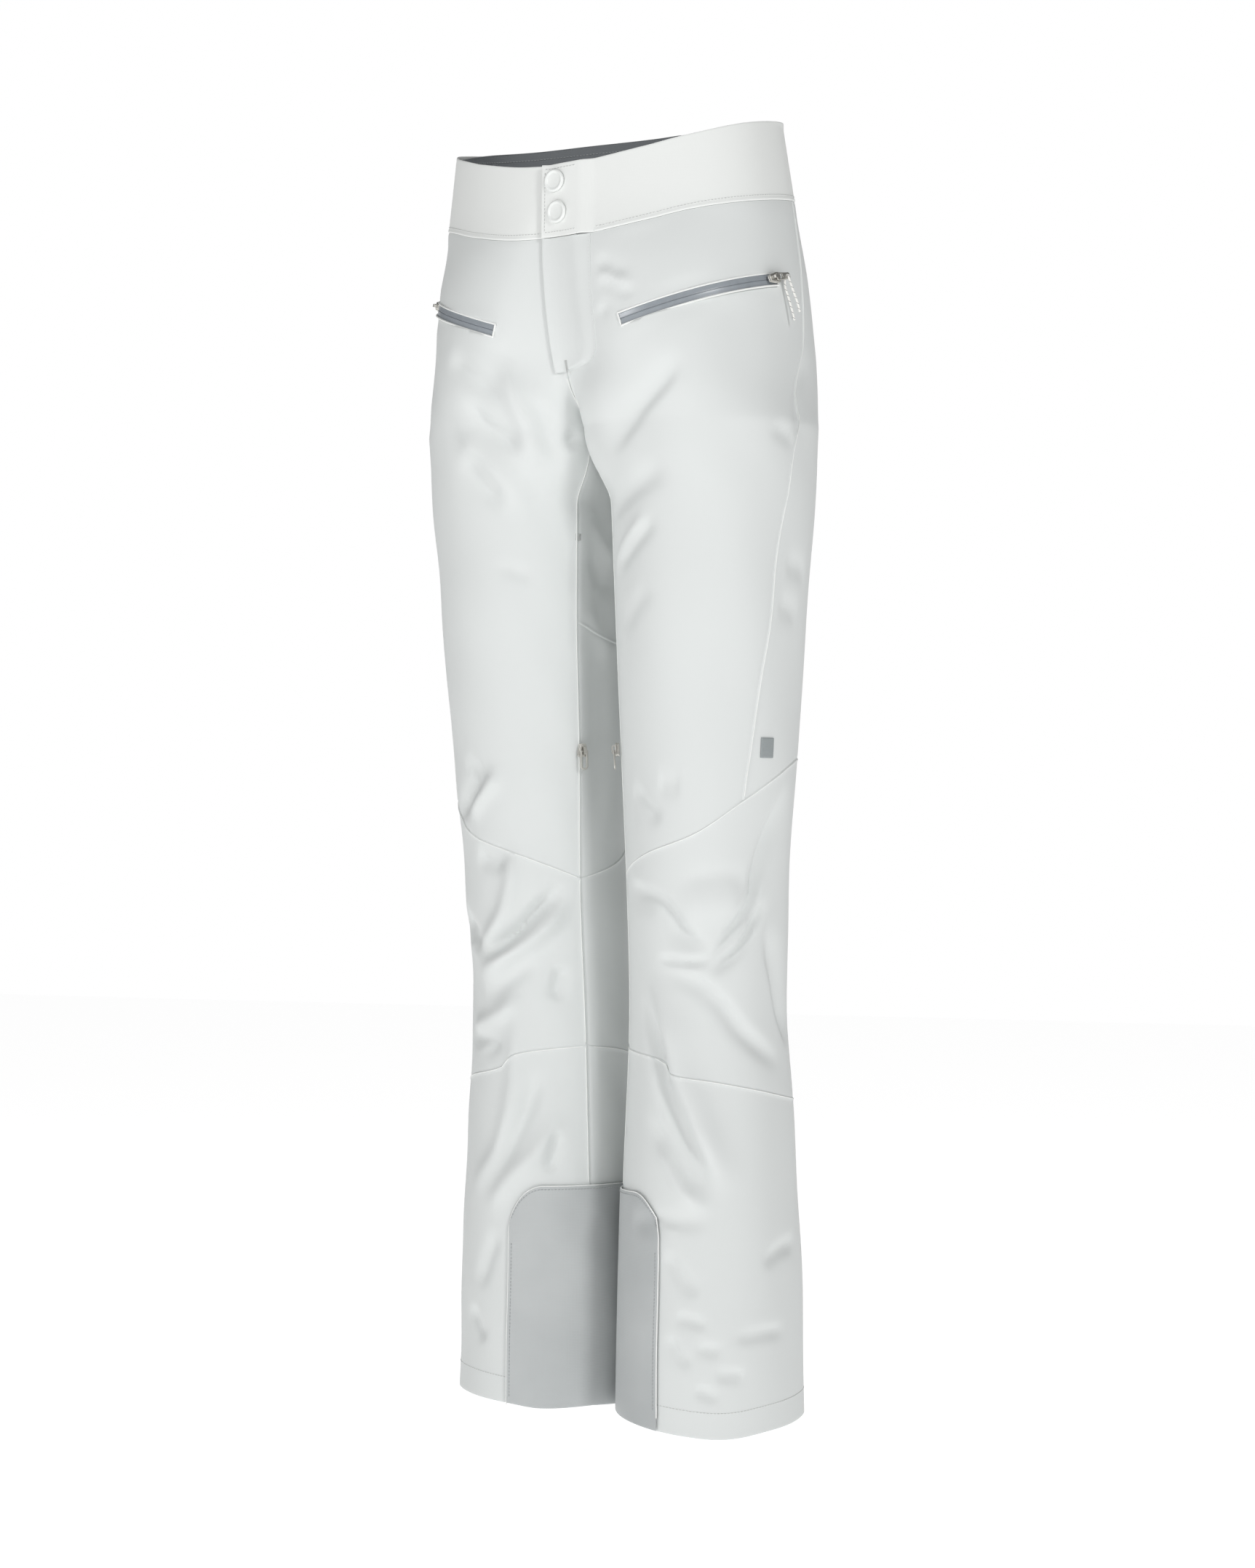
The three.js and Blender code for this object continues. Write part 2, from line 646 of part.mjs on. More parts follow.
/** Doubled cord through the pull's hole, both ends hanging over the hip. */
function addPocketCord(side, hole, out, hipT, hipH) {
  const reach = barZ + pocketSlider;
  const hang = (t, drop, distance) => offPoint(hipT + t, hipH - drop, distance);
  const route = [
    hang(0.02, cordStrands.outer, 10.5),
    hang(0.014, 20, 10.2),
    hang(0.008, 12, reach + 2.6),
    hang(0.002, 6, reach + 2.4),
    hole.clone().addScaledVector(out, 2.3).add(new THREE.Vector3(0, 0, -2.4)),
    hole.clone().addScaledVector(out, 1.9).add(new THREE.Vector3(0, 0, -0.4)),
    hole.clone(),
    hole.clone().addScaledVector(out, -1.9).add(new THREE.Vector3(0, 0, -0.4)),
    hole.clone().addScaledVector(out, -2.3).add(new THREE.Vector3(0, 0, -2.4)),
    hang(0.001, 8, 3.6),
    hang(0.004, 16, 5),
    hang(0.008, 26, 6.6),
    hang(0.01, cordStrands.inner, 8),
  ];
  const line = new THREE.CatmullRomCurve3(route, false, 'centripetal');
  const round = new THREE.Shape();
  round.absarc(0, 0, cordDiameter / 2, 0, Math.PI * 2, false);
  const tube = new THREE.ExtrudeGeometry(round,
    { steps: cordSteps, bevelEnabled: false, extrudePath: line, curveSegments: 4 });
  addSide(side, 'pocket_cord', mergeVertices(bareGeometry(tube), 1e-4), cordWhite);
}

function bareGeometry(geometry) {
  const bare = geometry.clone();
  bare.deleteAttribute('normal');
  bare.deleteAttribute('uv');
  return bare;
}

function addPocket(side) {
  const arc = pocketArc(side);
  const ends = 0.3 / arc.radius;
  addSide(side, 'pocket_zip', arcSlab(arc, ends, arc.sweep - ends, pocketWindow - 0.6,
    -zipTapeThickness - 0.4, -0.4, 12), zipGrey);
  const angle = arc.sweep - pocketMargin / arc.radius;
  const { out, along } = arcFrame(arc, angle);
  const point = arc.centre.clone().addScaledVector(out, arc.radius + pocketSlider);
  const turned = side === 'left' ? (v) => v.clone() : flipX;
  const group = place(turned(point), turned(along), turned(out));
  addIn(group, `${side}_pocket_slider`, sliderGeometry(), plated);
  addIn(group, `${side}_pocket_pull`, pocketPullGeometry(), plated);
  const hole = point.clone().addScaledVector(along, cordHoleX).addScaledVector(out, barZ);
  const hipT = pocketInner[side] + (pocketLength + cordHoleX - pocketMargin)
    / section(pocketHeights[1]).length;
  addPocketCord(side, hole, out, hipT, hole.z);
  const t0 = pocketInner[side];
  const width = pocketLength / section(pocketHeights[1]).length;
  addSide(side, 'pocket_bag', panel({ columns: 6, rows: 3,
    column: (s) => mix(t0, t0 + width, s),
    row: (s, t) => mix(pocketHeights[0] - bagDepth, mix(pocketHeights[0], pocketHeights[2],
      (t - t0) / width) - pocketWindow, s),
    inner: -fabric - bagGap - 1.6, outer: -fabric - bagGap }), meshGrey);
}

function addVent(side) {
  const top = grade(ventTop);
  const bottom = top - ventLength;
  const half = pocketWindow / 2;
  addSide(side, 'vent_zip', panel({ columns: 2, rows: 6,
    column: (s, h) => (s - 0.5) * 2 * (half + 3) / section(h).length,
    row: (s) => mix(bottom, top, s),
    inner: -fabric - ventGap - zipTapeThickness, outer: -fabric - ventGap }), zipGrey);
  const low = onSurface(0, bottom);
  const high = onSurface(0, top);
  const down = low.clone().sub(high).normalize();
  const out = outward(0, (bottom + top) / 2);
  out.addScaledVector(down, -out.dot(down)).normalize();
  const point = low.clone().addScaledVector(down, -sliderLength / 2 - 2)
    .addScaledVector(out, ventSlider);
  const turned = side === 'left' ? (v) => v.clone() : flipX;
  const group = place(turned(point), turned(down), turned(out));
  addIn(group, `${side}_vent_slider`, sliderGeometry(), plated);
  addIn(group, `${side}_vent_pull`, ventPullGeometry(), plated);
}

for (const side of ['left', 'right']) {
  addShell(side);
  addHem(side);
  addGaiter(side);
  addPocket(side);
  addVent(side);
}

// ---- Waistband ----

const sideT = 0.56;
const tabT = tabReach / section(grade(985)).length;
const overlapT = tabOverlap / section(grade(985)).length;
const tabLift = 2.6;
const bandClear = 0.8;          // band above the panels that it is sewn to
const bandRow = (s, t) => {
  const u = t < 0 ? -t : Math.min(t, 2 - t);
  return mix(curve(waistSeam, u) + bandClear, rim(u), s);
};

const band = (columns, from, to, inner, outer) => panel({ columns, rows: 2,
  column: (s) => mix(from, to, s), row: bandRow, inner, outer });

add('waistband_left', band(7, tabT, sideT, -bandFabric, 0), bandWhite);
add('waistband_right', mirrored(band(9, -tabT + 0.01, sideT, -bandFabric, 0)), bandWhite);
add('waistband_back', band(14, sideT, 2 - sideT, -bandFabric, 0), bandWhite);
add('waistband_tab', band(4, -overlapT, tabT - 0.002, tabLift, tabLift + bandFabric), bandWhite);

const liningGap = 2;
const liningTop = [[0, -2], [0.4, -2], [0.6, 1], [1, 2]];
add('waistband_lining', panel({ columns: 24, rows: 2,
  column: (s) => mix(0.11, 1.97, s),
  row: (s, t) => {
    const u = Math.min(t, 2 - t);
    return mix(curve(waistSeam, u) + bandClear, rim(u) + curve(liningTop, u), s);
  },
  inner: -bandFabric - liningGap - fabric, outer: -bandFabric - liningGap }), liningGrey);

// ---- Snaps on the tab ----

const snapTs = [[0.013, 1000], [0.02, 975]].map(([t, height]) => [t, grade(height)]);

function discAt(t, h, distance, profile, segments) {
  const points = profile.map(([r, z]) => new THREE.Vector2(r, z));
  const geometry = new THREE.LatheGeometry(points, segments);
  geometry.rotateX(Math.PI / 2);
  const out = outward(t, h);
  const group = place(offPoint(t, h, distance), new THREE.Vector3(1, 0, 0)
    .addScaledVector(out, -out.x).normalize(), out);
  return [group, geometry];
}

const capProfile = [[0, 0], [snapDiameter / 2, 0], [snapDiameter / 2, 0.7],
  [snapDiameter / 2 - 0.9, 1.5], [snapDiameter / 2 - 2.4, 1.5], [snapDiameter / 2 - 3, 1.1], [0, 1]];
const studProfile = [[0, 0], [5, 0], [5, 0.5], [2.4, 0.6], [2.4, 1.5], [0, 1.5]];

['upper', 'lower'].forEach((name, k) => {
  const [t, h] = snapTs[k];
  const [cap, capShape] = discAt(t, h, tabLift + bandFabric + 0.9, capProfile, 20);
  addIn(cap, `snap_cap_${name}`, capShape, snapWhite);
  const [stud, studShape] = discAt(t, h, 0.3, studProfile, 14);
  addIn(stud, `snap_stud_${name}`, studShape, plated);
});

// ---- Fly ----

const flapLift = 1.8;           // the flap lies over the other front panel
const seamAtFront = grade(955);
add('fly_flap', panel({ columns: 4, rows: 6,
  column: (s, h) => mix(-overlapT, curve(flyFacing, h), s),
  row: (s) => mix(flyBottom + 3, seamAtFront, s),
  inner: flapLift, outer: flapLift + fabric }), shellWhite);
add('fly_underlap', panel({ columns: 3, rows: 4,
  column: (s) => mix(-0.02, 0.08, s),
  row: (s) => mix(flyBottom + 8, seamAtFront - 2, s),
  inner: -11 - fabric, outer: -11 }), shellWhite);

const flyZipWidth = 22;
const flyZipInset = 5.5;
const flyT = 0.036;
const flyLow = offPoint(flyT, seamAtFront - flyLength + 14, -flyZipInset);
const flyHigh = offPoint(flyT, seamAtFront - 8, -flyZipInset);
const flyUp = flyHigh.clone().sub(flyLow);
const flyOut = outward(flyT, (flyBottom + seamAtFront) / 2);
flyOut.addScaledVector(flyUp, -flyOut.dot(flyUp) / flyUp.lengthSq()).normalize();
const flyGroup = place(flyLow, flyUp.clone().normalize(), flyOut);
const flyTape = new THREE.BoxGeometry(flyUp.length(), flyZipWidth, zipTapeThickness);
flyTape.translate(flyUp.length() / 2, 0, -zipTapeThickness / 2);
addIn(flyGroup, 'fly_zip', flyTape, zipGrey);
const flySlider = new THREE.BoxGeometry(sliderLength, sliderWidth, sliderHeight);
flySlider.translate(flyUp.length() - sliderLength / 2 - 1, 0, sliderHeight / 2 + 0.4);
addIn(flyGroup, 'fly_slider', flySlider, plated);

// ---- Side patch and hanger loops ----

const patchWidth = 13;
const patchHeight = 16;
const patchH = grade(548);
const patchT = 0.364;
add('side_patch', panel({ columns: 3, rows: 2,
  column: (s, h) => patchT + (s - 0.5) * patchWidth / section(h).length,
  row: (s) => patchH + (s - 0.5) * patchHeight,
  inner: 0.5, outer: 1.1 }), patchGrey);

const loopWidth = 6;
const loopLength = 42;
const loopThickness = 1.6;
const loopGap = 2.4;            // loop behind the lining, clear of its flat facets
for (const side of ['left', 'right']) {
  addSide(side, 'hanger_loop', panel({ columns: 2, rows: 6,
    column: (s, h) => 0.54 + s * loopWidth / section(h).length,
    row: (s) => rim(0.54) - 6 - loopLength * (1 - s),
    inner: -bandFabric - liningGap - fabric - loopGap - loopThickness,
    outer: -bandFabric - liningGap - fabric - loopGap }), liningGrey);
}

export default garment;
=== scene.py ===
# %% [markdown]
# # White ski trousers
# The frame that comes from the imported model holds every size, mount and joint. This script gives
# it its looks: cloth panels with the folds of a garment that is being worn, seams, stitches,
# zips, snaps, cords and the inner cuffs. Each step says what the piece is on the real
# trousers and why it is made in this way.

# %% Load the frame
import math
from functools import partial

import bmesh
import bpy
import numpy as np
from mathutils import Matrix, Vector


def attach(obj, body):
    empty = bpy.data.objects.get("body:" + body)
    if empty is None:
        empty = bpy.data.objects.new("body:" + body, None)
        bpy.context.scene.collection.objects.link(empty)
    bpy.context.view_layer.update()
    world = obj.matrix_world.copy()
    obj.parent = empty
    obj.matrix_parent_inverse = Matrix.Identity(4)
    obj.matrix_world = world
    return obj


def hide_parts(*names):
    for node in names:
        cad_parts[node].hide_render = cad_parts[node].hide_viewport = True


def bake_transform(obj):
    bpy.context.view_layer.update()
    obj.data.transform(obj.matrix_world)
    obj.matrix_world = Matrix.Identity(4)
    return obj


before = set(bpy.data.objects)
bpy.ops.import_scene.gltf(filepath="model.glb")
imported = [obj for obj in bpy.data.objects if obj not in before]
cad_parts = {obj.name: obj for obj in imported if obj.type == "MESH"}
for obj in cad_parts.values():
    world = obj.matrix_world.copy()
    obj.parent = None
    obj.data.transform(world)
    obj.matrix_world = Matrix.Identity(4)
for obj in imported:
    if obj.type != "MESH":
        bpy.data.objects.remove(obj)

MM = 0.001
SIDES = ("left", "right")
TUBE_EDGE, TURNED_EDGE, CLOTH_EDGE, CAST_EDGE = 60, 50, 48, 40  # degrees; sharper ones stay crisp
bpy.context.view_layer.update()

# %% [markdown]
# ## Camera
# The wearer's left hip is turned towards the viewer by 32 degrees. The camera stands
# 3.09 m from the body axis, a little above knee height, and looks level, so the waistband is
# seen slightly from below and the back of the rim shows above the front one.

# %% Camera
TURN = math.radians(32)
CAMERA_DISTANCE = 3.09
CAMERA_HEIGHT = -0.59
LENS = 86.16
SENSOR = 36

camera_data = bpy.data.cameras.new("camera")
camera_data.lens = LENS
camera_data.sensor_width = SENSOR
camera_data.shift_x = 0.0021
camera_data.shift_y = 0.0473
camera = bpy.data.objects.new("camera", camera_data)
camera.location = (
    CAMERA_DISTANCE * math.sin(TURN),
    -CAMERA_DISTANCE * math.cos(TURN),
    CAMERA_HEIGHT,
)
camera.rotation_euler = (math.pi / 2, 0, TURN)
bpy.context.scene.collection.objects.link(camera)
bpy.context.scene.camera = camera

# %% [markdown]
# ## Colours and nodes
# Colours are written as sRGB hex values, as a designer picks them, and one function turns them to
# linear light. One small function adds a shader node, with its settings and its links.

# %% Colours and nodes
def colour(hex_value):
    channels = [(hex_value >> shift & 255) / 255 for shift in (16, 8, 0)]
    return [c / 12.92 if c <= 0.04045 else ((c + 0.055) / 1.055) ** 2.4 for c in channels] + [1]


def node(tree, kind, settings=None, **inputs):
    """Adds a node. An input is a value, or the output socket of another node."""
    made = tree.nodes.new(kind)
    for key, value in (settings or {}).items():
        setattr(made, key, value)
    for key, value in inputs.items():
        by_place = key[0] == "i" and key[1:].isdigit()
        socket = made.inputs[int(key[1:])] if by_place else made.inputs[key.replace("_", " ")]
        if isinstance(value, bpy.types.NodeSocket):
            tree.links.new(value, socket)
        else:
            socket.default_value = value
    return made


def blend_colours(tree, factor, low, high):
    """A colour between two hex values, picked by a factor from 0 to 1."""
    made = node(tree, "ShaderNodeMix", {"data_type": "RGBA"}, i0=factor)
    made.inputs[6].default_value = colour(low)
    made.inputs[7].default_value = colour(high)
    return made.outputs[2]


def material(name, **shader):
    """A new material with its Principled shader: returns the material, its tree and the shader."""
    made = bpy.data.materials.new(name)
    made.use_nodes = True
    tree = made.node_tree
    principled = tree.nodes["Principled BSDF"]
    for key, value in shader.items():
        principled.inputs[key.replace("_", " ")].default_value = value
    return made, tree, principled


# %% [markdown]
# ## Cloth finishes
# The shell is a woven polyester laminated to a membrane: a matt white, very even, with a trace
# of sheen at grazing angles. Its threads are about 0.3 mm apart. They are drawn 0.9 mm apart
# here, because finer ones can't be seen from across a room. The weave follows each panel's own
# UV map, whose units are metres of cloth, and a faint broad mottling follows the object.

# %% Cloth finishes
THREAD_RELIEF = 0.2 * MM


def cloth(name, base, shade, pitch=0.9, weave=0.05, rough=0.62, sheen=0.12, mottle=0.035):
    made, tree, shader = material(
        name, Roughness=rough, Sheen_Weight=sheen, Sheen_Roughness=0.45, Specular_IOR_Level=0.35
    )
    uv = node(tree, "ShaderNodeUVMap", {"uv_map": "cloth"}).outputs["UV"]
    scale = math.pi / 10 / (pitch * MM)  # one wave of this texture is pi / 10 long at scale 1
    warp = node(tree, "ShaderNodeTexWave", {"bands_direction": "X", "wave_profile": "SIN"},
                Vector=uv, Scale=scale, Distortion=0.0)
    weft = node(tree, "ShaderNodeTexWave", {"bands_direction": "Y", "wave_profile": "SIN"},
                Vector=uv, Scale=scale, Distortion=0.0)
    threads = node(tree, "ShaderNodeMath", {"operation": "ADD"},
                   i0=warp.outputs["Fac"], i1=weft.outputs["Fac"])
    place = node(tree, "ShaderNodeTexCoord").outputs["Object"]
    broad = node(tree, "ShaderNodeTexNoise", Vector=place, Scale=9.0, Detail=3.0, Roughness=0.5)
    slub = node(tree, "ShaderNodeTexNoise", Vector=place, Scale=420.0, Detail=2.0, Roughness=0.6)
    tint = node(tree, "ShaderNodeMapRange", Value=broad.outputs["Fac"], To_Min=-mottle,
                To_Max=mottle)
    mixed = node(tree, "ShaderNodeMath", {"operation": "ADD"}, i0=tint.outputs["Result"], i1=0.5)
    dye = blend_colours(tree, mixed.outputs["Value"], shade, base)
    tree.links.new(dye, shader.inputs["Base Color"])
    fine = node(tree, "ShaderNodeMath", {"operation": "MULTIPLY_ADD"},
                i0=slub.outputs["Fac"], i1=0.8, i2=threads.outputs["Value"])
    bump = node(tree, "ShaderNodeBump", Strength=weave, Distance=THREAD_RELIEF,
                Height=fine.outputs["Value"])
    tree.links.new(bump.outputs["Normal"], shader.inputs["Normal"])
    return made


shell_cloth = cloth("woven_white_shell", 0xDFE2E1, 0xD9DCDB)
# The stretch band cloth is painted brighter than the shell: a painted highlight on the band.
band_cloth = cloth("stretch_waistband_painted_highlight", 0xEDEFED, 0xE7E9E7, pitch=1.1, rough=0.68)
guard_cloth = cloth("coated_grey_guard", 0xC8CBCB, 0xA6AAAB, pitch=1.3, weave=0.12, rough=0.5,
                    mottle=0.6)
lining_cloth = cloth("grey_knit_lining", 0x8B8F92, 0x74787C, pitch=1.4, weave=0.35, rough=0.85,
                     sheen=0.3, mottle=0.15)
mesh_cloth = cloth("pale_grey_inner_cloth", 0xBFC3C5, 0xB0B5B8, pitch=1.2, weave=0.2, rough=0.8)
# The white shell cloth painted brighter: a painted highlight on raised seam welts, pocket lips and
# the guard's folded edge.
painted_highlight_cloth = cloth("painted_highlight_edge_cloth", 0xF2F3F1, 0xECEEEC, pitch=0.9, rough=0.6)

# %% [markdown]
# ## Thread, cord, zip, metal, rubber and plastic
# Stitches are white polyester thread with a soft lustre, coloured a little greyer than the cloth:
# painted shade of the stitch holes. The pull's cord is a white braid with a dark fleck in every
# few turns of its cover. The zips are the laminated kind: a smooth grey film over the teeth. The
# sliders and pulls are cast zinc with a satin nickel plating.

# %% Small finishes
FLECK_PITCH = 4.6 * MM
FLECK_SHARE = 0.09
STRAND_PITCH = 0.9 * MM


def braid():
    made, tree, shader = material("flecked_braid", Roughness=0.7, Sheen_Weight=0.2)
    along = node(tree, "ShaderNodeAttribute", {"attribute_name": "along"}).outputs["Vector"]
    parts = node(tree, "ShaderNodeSeparateXYZ", Vector=along)
    turn = node(tree, "ShaderNodeMath", {"operation": "MULTIPLY_ADD"},
                i0=parts.outputs["X"], i1=1 / FLECK_PITCH, i2=parts.outputs["Y"])
    phase = node(tree, "ShaderNodeMath", {"operation": "FRACT"}, i0=turn.outputs["Value"])
    fleck = node(tree, "ShaderNodeMath", {"operation": "LESS_THAN"},
                 i0=phase.outputs["Value"], i1=FLECK_SHARE)
    ink = blend_colours(tree, fleck.outputs["Value"], 0xF6F5F1, 0x5A5D60)
    tree.links.new(ink, shader.inputs["Base Color"])
    strands = node(tree, "ShaderNodeMath", {"operation": "MULTIPLY_ADD"},
                   i0=parts.outputs["X"], i1=6.283 / STRAND_PITCH, i2=parts.outputs["Z"])
    wave = node(tree, "ShaderNodeMath", {"operation": "SINE"}, i0=strands.outputs["Value"])
    bump = node(tree, "ShaderNodeBump", Strength=0.5, Distance=THREAD_RELIEF,
                Height=wave.outputs["Value"])
    tree.links.new(bump.outputs["Normal"], shader.inputs["Normal"])
    return made


def speckled(name, base, shade, scale, bump_mm, **shader_values):
    """A solid finish with a fine unevenness in its colour and its surface."""
    made, tree, shader = material(name, **shader_values)
    place = node(tree, "ShaderNodeTexCoord").outputs["Object"]
    grain = node(tree, "ShaderNodeTexNoise", Vector=place, Scale=scale, Detail=3.0, Roughness=0.6)
    dye = blend_colours(tree, grain.outputs["Fac"], shade, base)
    tree.links.new(dye, shader.inputs["Base Color"])
    bump = node(tree, "ShaderNodeBump", Strength=0.3, Distance=bump_mm * MM,
                Height=grain.outputs["Fac"])
    tree.links.new(bump.outputs["Normal"], shader.inputs["Normal"])
    return made


flecked_braid = braid()
# Thread coloured greyer than the white cloth: painted shade of the stitch holes.
thread = speckled("polyester_thread", 0xD2D4D2, 0xC2C4C3, 900.0, 0.05, Roughness=0.5)
grey_thread = speckled("grey_polyester_thread", 0xB4B7B8, 0x9EA2A4, 900.0, 0.05, Roughness=0.55)
zip_film = speckled("laminated_zip_film", 0x9DA3A9, 0x8C9298, 160.0, 0.04, Roughness=0.3)
zip_tape = speckled("woven_zip_tape", 0x8E9499, 0x7D8388, 700.0, 0.1, Roughness=0.6)
nickel = speckled("satin_nickel_plating", 0xD6D4CE, 0xC4C2BC, 500.0, 0.01, Metallic=0.9,
                  Roughness=0.36)
snap_enamel = speckled("painted_snap_cap", 0xF1F3F1, 0xEAEDEB, 300.0, 0.02, Roughness=0.32)
grip_rubber = speckled("ribbed_elastic_grip", 0x64686C, 0x54585C, 800.0, 0.1, Roughness=0.75)
patch_film = speckled("transfer_patch", 0x9AA0A1, 0x8F9596, 400.0, 0.03, Roughness=0.55)
print("materials:", len(bpy.data.materials))

# %% [markdown]
# ## Pocket cords
# Each hip pocket's pull has a short doubled cord through its hole. Both strands hang down
# over the hip with cut ends. The cord is a limp braid 1.8 mm thick, about 70 mm of it in all.
# Its centreline is one smooth curve through a few chosen points, and a tube is swept along it.

# %% Pocket cords
CORD_DIAMETER = 0.0018
CORD_ROUTES = {
    "left": [(0.1696, -0.0071, -0.1542), (0.1690, -0.0103, -0.1462), (0.1674, -0.0136, -0.1382),
             (0.1667, -0.0170, -0.1321), (0.1664, -0.0191, -0.1282), (0.1660, -0.0190, -0.1263),
             (0.1642, -0.0185, -0.1264), (0.1625, -0.0180, -0.1273), (0.1621, -0.0179, -0.1294),
             (0.1615, -0.0166, -0.1343), (0.1634, -0.0150, -0.1423), (0.1654, -0.0127, -0.1523),
             (0.1671, -0.0112, -0.1612)],
    "right": [(-0.1683, -0.0212, -0.1541), (-0.1673, -0.0245, -0.1462),
              (-0.1653, -0.0277, -0.1381), (-0.1641, -0.0307, -0.1321),
              (-0.1637, -0.0327, -0.1282), (-0.1633, -0.0326, -0.1263),
              (-0.1616, -0.0319, -0.1264), (-0.1599, -0.0312, -0.1273),
              (-0.1595, -0.0311, -0.1294), (-0.1591, -0.0298, -0.1343),
              (-0.1611, -0.0286, -0.1423), (-0.1634, -0.0267, -0.1522),
              (-0.1653, -0.0255, -0.1611)],
}


def smooth_route(points, steps=10):
    """Centripetal Catmull-Rom curve through the points, closely spaced."""
    p = np.array(points, float)
    p = np.vstack([2 * p[0] - p[1], p, 2 * p[-1] - p[-2]])
    made = []
    for k in range(1, len(p) - 2):
        p0, p1, p2, p3 = p[k - 1 : k + 3]
        t1 = np.linalg.norm(p1 - p0) ** 0.5
        t2 = t1 + np.linalg.norm(p2 - p1) ** 0.5
        t3 = t2 + np.linalg.norm(p3 - p2) ** 0.5
        for t in np.linspace(t1, t2, steps, endpoint=False):
            a1 = (t1 - t) / t1 * p0 + t / t1 * p1
            a2 = (t2 - t) / (t2 - t1) * p1 + (t - t1) / (t2 - t1) * p2
            a3 = (t3 - t) / (t3 - t2) * p2 + (t - t2) / (t3 - t2) * p3
            b1 = (t2 - t) / t2 * a1 + t / t2 * a2
            b2 = (t3 - t) / (t3 - t1) * a2 + (t - t1) / (t3 - t1) * a3
            made.append((t2 - t) / (t2 - t1) * b1 + (t - t1) / (t2 - t1) * b2)
    made.append(p[-2])
    return np.array(made)


def mesh_of(name, bm):
    """Turns a bmesh into a mesh and frees it."""
    mesh = bpy.data.meshes.new(name)
    bm.to_mesh(mesh)
    bm.free()
    return mesh


def new_object(name, mesh, finish):
    made = bpy.data.objects.new(name, mesh)
    bpy.context.scene.collection.objects.link(made)
    mesh.materials.clear()
    mesh.materials.append(finish)
    return made


def tube(name, route, radius, finish, sides=10, closed=False):
    """Tube along a route, swept by a frame that turns as little as it can.

    The attribute "along" holds the length run, the share of the turn and its phase for strands.
    """
    route = np.asarray(route, float)
    count = len(route)
    ahead = np.roll(route, -1, 0) if closed else np.vstack([route[1:], 2 * route[-1] - route[-2]])
    behind = np.roll(route, 1, 0) if closed else np.vstack([2 * route[0] - route[1], route[:-1]])
    way = ahead - behind
    way /= np.linalg.norm(way, axis=1, keepdims=True)
    bm = bmesh.new()
    bmesh.ops.create_circle(bm, segments=sides, radius=1.0)
    ring = [v.co.copy() for v in bm.verts]
    bm.free()
    side = Vector(way[0]).orthogonal().normalized()
    rings = []
    for k in range(count):
        along = Vector(way[k])
        side = (side - along * side.dot(along)).normalized()
        up = along.cross(side)
        rings.append([Vector(route[k]) + (side * c.x + up * c.y) * radius for c in ring])
    bm = bmesh.new()
    loops = [[bm.verts.new(c) for c in one] for one in rings]
    spans = count if closed else count - 1
    for k in range(spans):
        a, b = loops[k], loops[(k + 1) % count]
        for j in range(sides):
            bm.faces.new((a[j], a[(j + 1) % sides], b[(j + 1) % sides], b[j]))
    if not closed:
        bm.faces.new(list(reversed(loops[0])))
        bm.faces.new(loops[-1])
    bmesh.ops.recalc_face_normals(bm, faces=bm.faces)
    mesh = mesh_of(name, bm)
    steps = np.concatenate([[0], np.cumsum(np.linalg.norm(np.diff(route, axis=0), axis=1))])
    turn = np.arange(sides) / sides
    data = np.stack([np.repeat(steps, sides), np.tile(turn, count),
                     np.tile(turn * 12.566, count)], 1)
    attribute = mesh.attributes.new("along", "FLOAT_VECTOR", "POINT")
    attribute.data.foreach_set("vector", data.astype(np.float32).ravel())
    mesh.shade_smooth()
    mesh.set_sharp_from_angle(angle=math.radians(TUBE_EDGE))
    return new_object(name, mesh, finish)


def length_of(route):
    return float(np.linalg.norm(np.diff(route, axis=0), axis=1).sum())


for side in SIDES:
    route = smooth_route(CORD_ROUTES[side])
    cord = tube(f"{side}_pull_cord", route, CORD_DIAMETER / 2, flecked_braid)
    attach(cord, f"{side}_pocket_zip_pull")
    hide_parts(f"{side}_pocket_cord")
    print(cord.name, round(length_of(route) * 1000, 1), "mm")

# %% [markdown]
# ## The surface that all the cloth lies on
# Both legs share one shape. A point on it is (t, h): h is the height above the hem in
# millimetres, and t runs round one half from the centre front, or the inseam, over the side to
# the centre back, or the inseam again, in equal lengths of cloth. Each level is four smooth arcs
# between the points where it reaches furthest. The rows below say where those are.

# %% Surface tables
INSEAM = 808  # hem to crotch
RISE = 242  # crotch to the top of the waistband
SEAM_TURN = math.radians(28)
BLEND = 60  # height over which two legs turn into one hip
LEG_ROWS = [  # height, centre x, centre y, half width, half depth
    (0, 78, 9, 74, 81), (90, 78, 9, 72.5, 79), (200, 77.5, 8, 69, 74), (330, 77, 6.5, 63, 67),
    (430, 79, 2, 64, 69), (540, 82, 0, 70, 75), (650, 85, -3, 75, 82), (750, 87, -3, 80, 89),
    (808, 88, -4, 82, 94),
]
HIP_ROWS = [  # height, front x and y, side x and y, back x and y, centre front y, centre back y
    (808, 88, -98, 170, -4, 88, 90, -50, -50), (840, 78, -107, 163, -3, 80, 106, -80, 40),
    (875, 64, -113, 160, -2, 66, 114, -96, 90), (933, 42, -113, 158, -3, 45, 109, -107, 106),
    (985, 15, -109, 152, -5, 18, 98, -108, 97), (1050, 0, -106, 143, -8, 0, 90, -106, 90),
]


